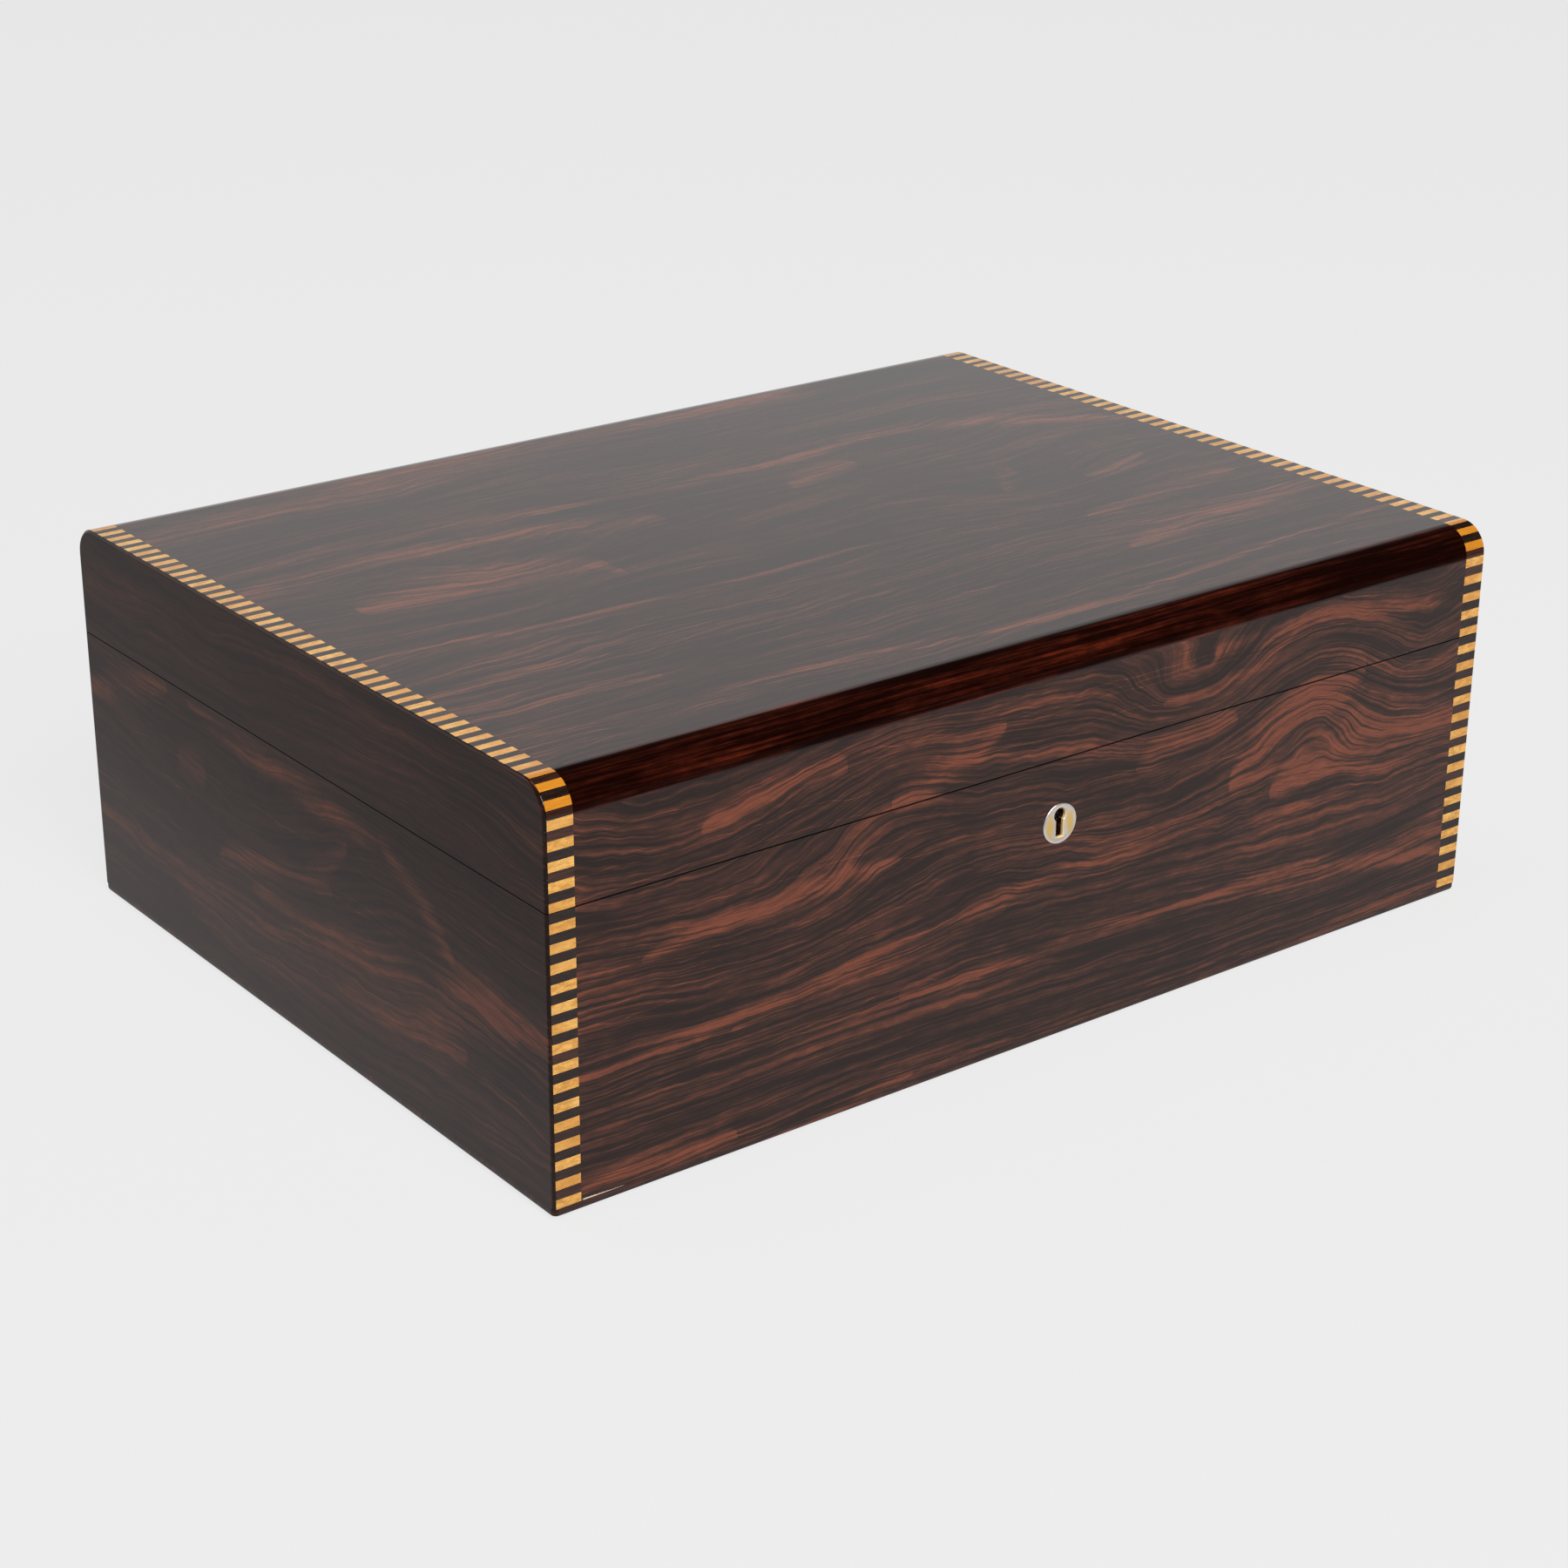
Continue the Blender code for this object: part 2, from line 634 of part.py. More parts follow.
def make_front_wall_cuts(keyhole):
    """The mortise for the lock, the seat for the escutcheon and the keyhole between them."""
    seat = lock_box(
        SELVEDGE_LENGTH / 2 + GAP,
        SELVEDGE_WIDTH / 2 + GAP,
        SELVEDGE_THICKNESS + HALF_GAP + GAP,
        -OVERCUT,
    )
    cut(front_wall, cutter("selvedge_seat", seat))
    mortise = lock_box(CASE_LENGTH / 2 + GAP, CASE_WIDTH / 2 + GAP, CASE_DEPTH + GAP, -OVERCUT)
    cut(front_wall, cutter("lock_mortise", mortise))
    recess = escutcheon_shape(
        ESCUTCHEON_RADIUS + HALF_GAP, ESCUTCHEON_THICKNESS - ESCUTCHEON_PROUD + HALF_GAP, OVERCUT
    )
    cut(front_wall, cutter("escutcheon_recess", recess))
    cut(front_wall, keyhole)


def escutcheon_shape(radius, sunk, proud):
    """A disc let into the front face by one amount and standing out of it by another."""
    outline = arc((0, SEAM - ESCUTCHEON_DEPTH), radius, 0, 360, 2 * TURN_STEPS)[:-1]
    return prism_shape(outline, "Y", -FACE - proud, -FACE + sunk)


def make_lock_case(keyhole):
    """The selvedge and the tray below it, open at the back, with slots for the staples."""
    under_selvedge = SELVEDGE_THICKNESS + HALF_GAP
    shape = lock_box(SELVEDGE_LENGTH / 2, SELVEDGE_WIDTH / 2, under_selvedge, HALF_GAP)
    case = piece("lock_case", shape, STEEL)
    tray = lock_box(CASE_LENGTH / 2, CASE_WIDTH / 2, CASE_DEPTH, under_selvedge - WELD)
    join(case, tray, "lock_tray")
    inside = CASE_LENGTH / 2 - CASE_PLATE
    hollow = box_shape(
        (-inside, LOCK_Y - CASE_WIDTH / 2 + CASE_PLATE, SEAM - CASE_DEPTH + CASE_PLATE),
        (inside, LOCK_Y + CASE_WIDTH / 2 + OVERCUT, SEAM - under_selvedge),
    )
    cut(case, cutter("lock_hollow", hollow))
    half_slot = STAPLE_THICKNESS / 2 + STAPLE_PLAY
    half_width = STAPLE_WIDTH / 2 + STAPLE_PLAY
    for word, side in SIDES:
        middle = side * STAPLE_X
        slot = box_shape(
            (middle - half_slot, LOCK_Y - half_width, SEAM - under_selvedge - WELD),
            (middle + half_slot, LOCK_Y + half_width, SEAM + OVERCUT),
        )
        cut(case, cutter(f"{word}_staple_slot", slot))
        head = (side * LOCK_SCREW_X, LOCK_Y, SEAM - HALF_GAP)
        screw(f"lock_{word}_screw", head, -1, (case, front_wall), STEEL)
    cut(case, keyhole)


def make_lock_cover():
    """The cap that closes the tray from behind, with the drill pin that the key turns on."""
    half = CASE_LENGTH / 2 - CASE_PLATE - GAP
    front = LOCK_Y + CASE_WIDTH / 2 - CASE_PLATE
    shape = box_shape(
        (-half, front, SEAM - CASE_DEPTH + CASE_PLATE + GAP),
        (half, front + CASE_PLATE, SEAM - SELVEDGE_THICKNESS - HALF_GAP - GAP),
    )
    cover = piece("lock_cover", shape, STEEL)
    pin = arc((0, KEYHOLE_Z), DRILL_PIN_RADIUS, 0, 360, TURN_STEPS)[:-1]
    reach = LOCK_Y - CASE_WIDTH / 2
    join(cover, prism_shape(pin, "Y", reach, front + CASE_PLATE / 2), "drill_pin")


def make_lock_bolt():
    """The sliding bolt: a bar with a talon for the key and two prongs that enter the staples."""
    bar_low = SEAM - BOLT_BAR_DEPTH
    bar_high = bar_low + BOLT_BAR_HEIGHT
    window_middle = SEAM - STAPLE_REACH + STAPLE_FOOT + PRONG_HEIGHT / 2 + STAPLE_PLAY
    prong_low = window_middle - PRONG_HEIGHT / 2
    prong_high = window_middle + PRONG_HEIGHT / 2
    outline = []
    arms = []
    for _, side in SIDES:
        tip = side * STAPLE_X - STAPLE_THICKNESS / 2 - PRONG_STANDOFF
        arm_right = tip - PRONG_LENGTH
        arm_left = arm_right - BOLT_ARM
        arms.append((arm_left, arm_right))
        outline += [(arm_left, bar_high), (arm_left, prong_high), (tip, prong_high)]
        outline += [(tip, prong_low), (arm_right, prong_low), (arm_right, bar_high)]
    # The bar runs from the first arm's left side to the last arm's right side.
    outline[0] = (arms[0][0], bar_low)
    outline[-1] = (arms[-1][1], bar_low)
    talon_top = bar_low + TALON
    outline += [(TALON, bar_low), (TALON, talon_top), (-TALON, talon_top), (-TALON, bar_low)]
    half = BOLT_THICKNESS / 2
    piece("lock_bolt", prism_shape(outline, "Y", LOCK_Y - half, LOCK_Y + half), STEEL, BOLT)


def make_lock_spring():
    """A bowed leaf spring, rooted at the tray's left side and bearing up on the bolt's bar."""
    root = -CASE_LENGTH / 2 + CASE_PLATE + GAP
    tip = -STAPLE_X / 2
    run = tip - root
    radius = (run**2 + SPRING_RISE**2) / (2 * SPRING_RISE)
    centre = (tip, SEAM - BOLT_BAR_DEPTH - GAP - radius)
    lean = 90 + math.degrees(math.asin(run / radius))
    outline = arc(centre, radius, 90, lean)
    outline += arc(centre, radius - SPRING_THICKNESS, lean, 90)
    half = SPRING_WIDTH / 2
    piece("lock_spring", prism_shape(outline, "Y", LOCK_Y - half, LOCK_Y + half), BRASS)


def make_link_plate():
    """The plate under the lid's front rail, with two staples that drop into the lock."""
    top = LINK_THICKNESS + HALF_GAP
    half = SELVEDGE_LENGTH / 2
    half_width = SELVEDGE_WIDTH / 2
    plate = piece("link_plate", lock_box(half, half_width, -HALF_GAP, -top), STEEL, LID)
    seat = lock_box(half + GAP, half_width + GAP, OVERCUT, -top - GAP)
    cut(lid_front, cutter("link_plate_seat", seat, LID))
    half_window = STAPLE_WIDTH / 2 - STAPLE_SIDE
    window_foot = SEAM - STAPLE_REACH + STAPLE_FOOT
    window_top = window_foot + PRONG_HEIGHT + 2 * STAPLE_PLAY
    for word, side in SIDES:
        middle = side * STAPLE_X
        near, far = middle - STAPLE_THICKNESS / 2, middle + STAPLE_THICKNESS / 2
        staple = box_shape(
            (near, LOCK_Y - STAPLE_WIDTH / 2, SEAM - STAPLE_REACH),
            (far, LOCK_Y + STAPLE_WIDTH / 2, SEAM + HALF_GAP + WELD),
        )
        join(plate, staple, f"{word}_staple", LID)
        window = box_shape(
            (near - WELD, LOCK_Y - half_window, window_foot),
            (far + WELD, LOCK_Y + half_window, window_top),
        )
        cut(plate, cutter(f"{word}_staple_window", window, LID))
        head = (side * LOCK_SCREW_X, LOCK_Y, SEAM + HALF_GAP)
        screw(f"link_plate_{word}_screw", head, 1, (plate, lid_front), STEEL, LID)


keyhole_reach = (-FACE - OVERCUT, LOCK_Y - CASE_WIDTH / 2 + CASE_PLATE + WELD)
keyhole_cutter = cutter("keyhole", prism_shape(keyhole_outline(), "Y", *keyhole_reach))
escutcheon_sunk = ESCUTCHEON_THICKNESS - ESCUTCHEON_PROUD
escutcheon = piece(
    "escutcheon",
    escutcheon_shape(ESCUTCHEON_RADIUS, escutcheon_sunk, ESCUTCHEON_PROUD),
    NICKEL,
    smooth=True,
)
cut(escutcheon, keyhole_cutter)
make_front_wall_cuts(keyhole_cutter)
make_lock_case(keyhole_cutter)
make_lock_cover()
make_lock_bolt()
make_lock_spring()
make_link_plate()
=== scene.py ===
"""The finish of a lacquered rosewood box with block banding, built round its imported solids.

Lengths are in millimetres where MM follows them, and in metres in the row frame otherwise. The
origin is on the floor under the middle of the box, +X runs to the right and -Y to the front.
"""

import itertools
import json
import math

import bpy
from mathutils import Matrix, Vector

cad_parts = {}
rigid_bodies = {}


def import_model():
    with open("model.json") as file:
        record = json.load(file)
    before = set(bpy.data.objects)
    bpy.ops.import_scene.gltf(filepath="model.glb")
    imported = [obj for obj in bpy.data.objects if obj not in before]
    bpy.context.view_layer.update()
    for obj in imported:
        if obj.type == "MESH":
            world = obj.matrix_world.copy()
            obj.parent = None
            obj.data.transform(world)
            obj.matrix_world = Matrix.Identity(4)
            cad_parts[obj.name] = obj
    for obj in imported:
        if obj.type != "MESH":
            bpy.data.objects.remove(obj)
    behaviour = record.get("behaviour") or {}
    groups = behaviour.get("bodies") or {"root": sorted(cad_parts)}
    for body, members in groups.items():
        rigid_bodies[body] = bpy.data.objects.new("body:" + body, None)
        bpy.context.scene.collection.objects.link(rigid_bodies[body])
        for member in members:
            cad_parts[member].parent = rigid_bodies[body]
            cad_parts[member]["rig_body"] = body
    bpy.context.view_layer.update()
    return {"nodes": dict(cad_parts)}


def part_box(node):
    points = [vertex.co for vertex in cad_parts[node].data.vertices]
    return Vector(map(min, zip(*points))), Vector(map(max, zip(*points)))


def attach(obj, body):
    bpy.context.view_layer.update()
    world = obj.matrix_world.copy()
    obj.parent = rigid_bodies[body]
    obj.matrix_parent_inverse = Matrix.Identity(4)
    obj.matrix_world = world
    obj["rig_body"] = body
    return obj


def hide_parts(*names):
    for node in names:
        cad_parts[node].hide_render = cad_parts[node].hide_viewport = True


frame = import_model()

MM = 0.001
X, Y, Z = 0, 1, 2
HALF_LENGTH, HALF_DEPTH, SAW_LINE = 180, 134, 92.2


# Front veneer. One sheet of figured rosewood covers the front: it was laid before the lid was
# sawn off, so the figure runs on across the saw line. Brown heartwood with near-black lines,
# some of it flushed red, under a thick coat of polished lacquer.


def add(tree, kind, inputs=(), **settings):
    """Puts a node in a tree. Inputs are values, or the sockets that feed them."""
    node = tree.nodes.new("ShaderNode" + kind)
    for option, value in settings.items():
        setattr(node, option, value)
    for place, value in dict(inputs).items():
        if isinstance(value, bpy.types.NodeSocket):
            tree.links.new(value, node.inputs[place])
        else:
            node.inputs[place].default_value = value
    return node


def maths(tree, operation, *values, clamp=False):
    """A sum on up to three values or sockets."""
    inputs = dict(enumerate(values))
    return add(tree, "Math", inputs, operation=operation, use_clamp=clamp).outputs[0]


def fade(tree, value, low, high, start=0.0, end=1.0):
    """Goes smoothly from start to end while the value goes from low to high."""
    inputs = {"Value": value, "From Min": low, "From Max": high, "To Min": start, "To Max": end}
    return add(tree, "MapRange", inputs, interpolation_type="SMOOTHSTEP").outputs["Result"]


def blend(tree, share, first, second, mode="MIX"):
    """Mixes two colours."""
    node = add(tree, "Mix", data_type="RGBA", blend_type=mode)
    for place, value in ((0, share), (6, first), (7, second)):
        if isinstance(value, bpy.types.NodeSocket):
            tree.links.new(value, node.inputs[place])
        elif place:
            node.inputs[place].default_value = (*value, 1)
        else:
            node.inputs[place].default_value = value
    return node.outputs[2]


def shaded(tree, colour, share):
    """A colour times a value."""
    grey = add(tree, "CombineColor", {0: share, 1: share, 2: share}).outputs[0]
    return blend(tree, 1.0, colour, grey, "MULTIPLY")


def noise(tree, along, across, deep, scale, detail=2.0, rough=0.5, seed=0.0):
    """Noise of its own scale along the grain, across it and into the board, per metre."""
    inputs = []
    for value, per_metre in zip((along, across, deep), scale):
        inputs.append(maths(tree, "MULTIPLY_ADD", value, per_metre, seed))
    place = add(tree, "CombineXYZ", dict(enumerate(inputs))).outputs[0]
    settings = {"Vector": place, "Scale": 1.0, "Detail": detail, "Roughness": rough}
    return add(tree, "TexNoise", settings).outputs["Fac"]


def new_group(name, takes, gives):
    """An empty node group, with its input and output sockets."""
    group = bpy.data.node_groups.new(name, "ShaderNodeTree")
    for title, kind, value in takes:
        made = group.interface.new_socket(title, in_out="INPUT", socket_type="NodeSocket" + kind)
        made.default_value = value
    for title, kind in gives:
        group.interface.new_socket(title, in_out="OUTPUT", socket_type="NodeSocket" + kind)
    inside = group.nodes.new("NodeGroupInput").outputs
    outside = group.nodes.new("NodeGroupOutput").inputs
    return group, inside, outside


def use(tree, group, **inputs):
    """Places a node group. An input's name is its socket's, with _ for a space."""
    node = tree.nodes.new("ShaderNodeGroup")
    node.node_tree = group
    for place, value in inputs.items():
        socket = node.inputs[place.replace("_", " ")]
        if isinstance(value, bpy.types.NodeSocket):
            tree.links.new(value, socket)
        else:
            socket.default_value = value
    return node


def make_swell():
    """Pushes the grain sideways round one spot, as it grows round a knot or over a hump."""
    takes = (
        ("Along", "Float", 0.0),
        ("Across", "Float", 0.0),
        ("Centre Along", "Float", 0.0),
        ("Centre Across", "Float", 0.0),
        ("Reach Along", "Float", 0.05),
        ("Reach Across", "Float", 0.02),
        ("Push", "Float", 0.01),
    )
    group, inside, outside = new_group("grain_swell", takes, (("Push", "Float"),))
    squares = []
    for word in ("Along", "Across"):
        off = maths(group, "SUBTRACT", inside[word], inside["Centre " + word])
        share = maths(group, "DIVIDE", off, inside["Reach " + word])
        squares.append(maths(group, "MULTIPLY", share, share))
    spread = maths(group, "ADD", *squares)
    hill = maths(group, "POWER", math.e, maths(group, "MULTIPLY", spread, -1.0))
    push = maths(group, "MULTIPLY", hill, inside["Push"])
    group.links.new(push, outside["Push"])
    return group


def make_flame():
    """One tapered flush of red that follows a bowed line between two points of the veneer."""
    takes = (
        ("Along", "Float", 0.0),
        ("Across", "Float", 0.0),
        ("Start Along", "Float", 0.0),
        ("Start Across", "Float", 0.0),
        ("End Along", "Float", 0.1),
        ("End Across", "Float", 0.0),
        ("Bow", "Float", 0.0),
        ("Width", "Float", 0.004),
    )
    group, inside, outside = new_group("rosewood_flame", takes, (("Red", "Float"),))
    run = maths(group, "SUBTRACT", inside["End Along"], inside["Start Along"])
    gone = maths(group, "SUBTRACT", inside["Along"], inside["Start Along"])
    share = maths(group, "DIVIDE", gone, run, clamp=True)
    left = maths(group, "SUBTRACT", 1.0, share)
    arch = maths(group, "MULTIPLY", maths(group, "MULTIPLY", share, left), 4.0)
    rise = maths(group, "SUBTRACT", inside["End Across"], inside["Start Across"])
    line = maths(group, "MULTIPLY_ADD", share, rise, inside["Start Across"])
    line = maths(group, "MULTIPLY_ADD", arch, inside["Bow"], line)
    off = maths(group, "ABSOLUTE", maths(group, "SUBTRACT", inside["Across"], line))
    half = maths(group, "MULTIPLY", inside["Width"], maths(group, "POWER", arch, 0.4))
    near = maths(group, "DIVIDE", off, maths(group, "ADD", half, 0.0001))
    group.links.new(fade(group, near, 2.1, 0.0), outside["Red"])
    return group


def make_rosewood():
    """Rosewood figure from a place on the veneer, with the flushes of red handed in."""
    takes = (
        ("Along", "Float", 0.0),
        ("Across", "Float", 0.0),
        ("Deep", "Float", 0.0),
        ("Push", "Float", 0.0),
        ("Red", "Float", 0.0),
        ("Wander", "Float", 0.010),
        ("Line Contrast", "Float", 1.0),
        ("Combed", "Float", 0.5),
        ("Flush", "Float", 0.5),
        ("Stain", "Color", (1, 1, 1, 1)),
    )
    gives = (("Color", "Color"), ("Height", "Float"))
    group, inside, outside = new_group("rosewood_figure", takes, gives)
    along, deep = inside["Along"], inside["Deep"]
    slow = noise(group, along, inside["Across"], deep, (9, 20, 9), 1.0, seed=3.1)
    quick = noise(group, along, inside["Across"], deep, (42, 60, 30), 1.0, seed=7.7)
    ripple = noise(group, along, inside["Across"], deep, (120, 90, 60), 1.0, seed=1.9)
    drift = maths(group, "SUBTRACT", slow, 0.5)
    drift = maths(group, "MULTIPLY_ADD", maths(group, "SUBTRACT", quick, 0.5), 0.20, drift)
    drift = maths(group, "MULTIPLY_ADD", maths(group, "SUBTRACT", ripple, 0.5), 0.07, drift)
    across = maths(group, "MULTIPLY_ADD", drift, inside["Wander"], inside["Across"])
    across = maths(group, "ADD", across, inside["Push"])
    # Growth zones about 15 mm apart, bands about 4 mm, lines about 1.5 mm and fibres.
    zone = noise(group, along, across, deep, (11, 85, 70), 2.0, 0.55, seed=1.3)
    band = noise(group, along, across, deep, (15, 430, 280), 2.0, 0.6, seed=4.2)
    line = noise(group, along, across, deep, (22, 1150, 800), 2.0, 0.6, seed=9.4)
    fibre = noise(group, along, across, deep, (140, 3000, 1800), 2.0, 0.65, seed=2.8)
    mottle = noise(group, along, inside["Across"], deep, (160, 420, 300), 3.0, 0.65, seed=6.6)
    lined = maths(group, "MULTIPLY_ADD", inside["Combed"], 2.2, 0.4)
    varied = 0.0
    for part, strength in ((zone, 1.7), (band, 1.5), (line, lined), (mottle, 0.8)):
        varied = maths(group, "MULTIPLY_ADD", maths(group, "SUBTRACT", part, 0.5), strength, varied)
    red = maths(group, "MULTIPLY_ADD", varied, inside["Line Contrast"], inside["Flush"])
    flamed = maths(group, "MULTIPLY_ADD", maths(group, "SUBTRACT", band, 0.5), 0.45, 0.52)
    red = maths(group, "MULTIPLY_ADD", inside["Red"], flamed, red, clamp=True)
    dark = maths(group, "MULTIPLY_ADD", maths(group, "SUBTRACT", line, 0.5), 1.8, 0.5)
    dark = maths(group, "MULTIPLY_ADD", maths(group, "SUBTRACT", band, 0.5), 1.0, dark)
    dark = fade(group, dark, 0.60, 0.28)
    dark = maths(group, "MULTIPLY", dark, inside["Line Contrast"], clamp=True)
    ramp = add(group, "ValToRGB", {"Fac": red})
    heart = (
        (0.0, (0.0150, 0.0042, 0.0020)),
        (0.30, (0.027, 0.0078, 0.0042)),
        (0.55, (0.050, 0.0150, 0.0086)),
        (0.80, (0.096, 0.0265, 0.0125)),
        (1.0, (0.158, 0.0405, 0.0190)),
    )
    points = ramp.color_ramp.elements
    while len(points) < len(heart):
        points.new(0.5)
    for point, (place, colour) in zip(points, heart):
        point.position = place
        point.color = (*colour, 1)
    shade = maths(group, "MULTIPLY_ADD", dark, -0.42, 1.0)
    colour = shaded(group, ramp.outputs["Color"], shade)
    bright = maths(group, "MULTIPLY_ADD", maths(group, "SUBTRACT", fibre, 0.5), 1.5, 1.0)
    colour = shaded(group, colour, bright)
    colour = blend(group, 1.0, colour, inside["Stain"], "MULTIPLY")
    pore = noise(group, along, inside["Across"], deep, (130, 2600, 130), 1.0, 0.5, seed=8.1)
    pore = fade(group, pore, 0.66, 0.74)
    colour = blend(group, maths(group, "MULTIPLY", pore, 0.6), colour, (0.006, 0.004, 0.003))
    group.links.new(colour, outside["Color"])
    height = maths(group, "MULTIPLY_ADD", pore, -0.6, maths(group, "MULTIPLY", fibre, 0.4))
    group.links.new(height, outside["Height"])
    return group


def make_scuffs():
    """Handling marks: faint rubs that dull the polish, and small pale nicks near an edge."""
    takes = (("Edge", "Float", 0.0),)
    gives = (("Rub", "Float"), ("Nick", "Float"))
    group, inside, outside = new_group("handling_marks", takes, gives)
    place = add(group, "TexCoord").outputs["Object"]
    cloud = add(group, "TexNoise", {"Vector": place, "Scale": 26.0, "Detail": 4.0}).outputs["Fac"]
    speck = add(group, "TexNoise", {"Vector": place, "Scale": 1300.0, "Detail": 1.0}).outputs["Fac"]
    group.links.new(fade(group, cloud, 0.35, 0.8), outside["Rub"])
    patch = add(group, "TexNoise", {"Vector": place, "Scale": 90.0, "Detail": 1.0}).outputs["Fac"]
    near = maths(group, "MULTIPLY", inside["Edge"], fade(group, patch, 0.52, 0.62))
    group.links.new(maths(group, "MULTIPLY", near, fade(group, speck, 0.67, 0.72)), outside["Nick"])
    return group


grain_swell = make_swell()
rosewood_flame = make_flame()
rosewood_figure = make_rosewood()
handling_marks = make_scuffs()
LACQUER = {"Coat_Weight": 1.0, "Coat_Roughness": 0.035, "Coat_IOR": 1.355}


def new_material(name):
    """A material with one Principled shader, and its Object coordinates."""
    material = bpy.data.materials.new(name)
    material.use_nodes = True
    tree = material.node_tree
    tree.nodes.clear()
    shader = add(tree, "BsdfPrincipled")
    output = tree.nodes.new("ShaderNodeOutputMaterial")
    tree.links.new(shader.outputs[0], output.inputs["Surface"])
    place = add(tree, "TexCoord").outputs["Object"]
    return material, tree, shader, place


def feed(tree, shader, **inputs):
    """Sets the shader's inputs, named with _ for a space."""
    for name, value in inputs.items():
        socket = shader.inputs[name.replace("_", " ")]
        if isinstance(value, bpy.types.NodeSocket):
            tree.links.new(value, socket)
        else:
            socket.default_value = value


def bump(tree, height, strength, depth):
    """A bumped normal from a height. The depth is in metres."""
    inputs = {"Height": height, "Strength": strength, "Distance": depth}
    return add(tree, "Bump", inputs).outputs["Normal"]


def outside_of(tree, place, axis, inner, outer):
    """Goes from 0 to 1 on the way out along an axis, on both sides of the box."""
    parts = add(tree, "SeparateXYZ", {0: place}).outputs
    return fade(tree, maths(tree, "ABSOLUTE", parts[axis]), inner * MM, outer * MM)


def edge_mask(tree, place, reach):
    """1 at the box's upright corners, going to 0 where the reach ends, in millimetres."""
    near = []
    for axis, face in ((X, HALF_LENGTH), (Y, HALF_DEPTH)):
        near.append(outside_of(tree, place, axis, face - reach, face - 0.3))
    return maths(tree, "MULTIPLY", *near)


def veneer(
    name,
    grain,
    swells=(),
    flames=(),
    shift=(0, 0, 0),
    wander=30,
    combed=None,
    calm=None,
    **tone,
):
    """Lacquered rosewood. grain names the axes that run along it, across it and into it.

    A swell is (centre along, centre across, reach along, reach across, push) and a flame is
    (start along, start across, end along, end across, bow, half width), all in millimetres.
    combed=(axis, from, to) brings the fine lines out from one place to another, and
    calm=(axis, from, to) lets the grain run straighter before the second place."""
    material, tree, shader, place = new_material(name)
    parts = add(tree, "SeparateXYZ", {0: place}).outputs
    along, across, deep = (parts["XYZ".index(letter)] for letter in grain)
    pushed = 0.0
    for spot in swells:
        titles = ("Centre_Along", "Centre_Across", "Reach_Along", "Reach_Across", "Push")
        sizes = {title: value * MM for title, value in zip(titles, spot)}
        made = use(tree, grain_swell, Along=along, Across=across, **sizes).outputs["Push"]
        pushed = maths(tree, "ADD", pushed, made)
    red = 0.0
    wobble = noise(tree, along, across, deep, (30, 90, 30), 2.0, 0.6, seed=5.5)
    wavy = maths(tree, "MULTIPLY_ADD", maths(tree, "SUBTRACT", wobble, 0.5), 7 * MM, across)
    for run in flames:
        titles = ("Start_Along", "Start_Across", "End_Along", "End_Across", "Bow", "Width")
        sizes = {title: value * MM for title, value in zip(titles, run)}
        made = use(tree, rosewood_flame, Along=along, Across=wavy, **sizes).outputs["Red"]
        red = maths(tree, "MAXIMUM", red, made)
    moved = [maths(tree, "ADD", part, step * MM) for part, step in zip((along, across, deep), shift)]
    figure = use(
        tree,
        rosewood_figure,
        Along=moved[0],
        Across=moved[1],
        Deep=moved[2],
        Push=pushed,
        Red=red,
        Wander=wander * MM,
        **tone,
    )
    if combed:
        axis, weak, strong = combed
        lines = fade(tree, parts[axis], weak * MM, strong * MM, 0.1, 1.0)
        tree.links.new(lines, figure.inputs["Combed"])
    if calm:
        axis, still, lively = calm
        lively = fade(tree, parts[axis], still * MM, lively * MM, 0.4 * wander * MM, wander * MM)
        tree.links.new(lively, figure.inputs["Wander"])
    figure = figure.outputs
    marks = use(tree, handling_marks, Edge=edge_mask(tree, place, 2.5)).outputs
    colour = blend(tree, marks["Nick"], figure["Color"], (0.30, 0.26, 0.21))
    # The lips of the saw line are painted near-black where they meet the outside: painted shade that
    # widens the shadow in the open saw line.
    out_x = outside_of(tree, place, X, HALF_LENGTH - 0.6, HALF_LENGTH - 0.2)
    out_y = outside_of(tree, place, Y, HALF_DEPTH - 0.6, HALF_DEPTH - 0.2)
    from_cut = maths(tree, "ABSOLUTE", maths(tree, "SUBTRACT", parts[Z], SAW_LINE * MM))
    painted_seam_shade = fade(tree, from_cut, 0.42 * MM, 0.20 * MM, 0.0, 0.85)
    painted_seam_shade = maths(tree, "MULTIPLY", painted_seam_shade, maths(tree, "MAXIMUM", out_x, out_y))
    colour = blend(tree, painted_seam_shade, colour, (0.004, 0.003, 0.002))
    if grain[0] == "Y":
        # The lips of the end boards are end grain, which drinks the lacquer and goes dark.
        lip = outside_of(tree, place, Y, HALF_DEPTH - 1.1, HALF_DEPTH - 0.5)
        colour = blend(tree, maths(tree, "MULTIPLY", lip, 0.75), colour, (0.006, 0.003, 0.002))
    feed(
        tree,
        shader,
        Base_Color=colour,
        Roughness=fade(tree, marks["Rub"], 0, 1, 0.42, 0.58),
        Normal=bump(tree, figure["Height"], 0.12, 0.0002),
        Specular_IOR_Level=0.0,
        **LACQUER,
    )
    return material


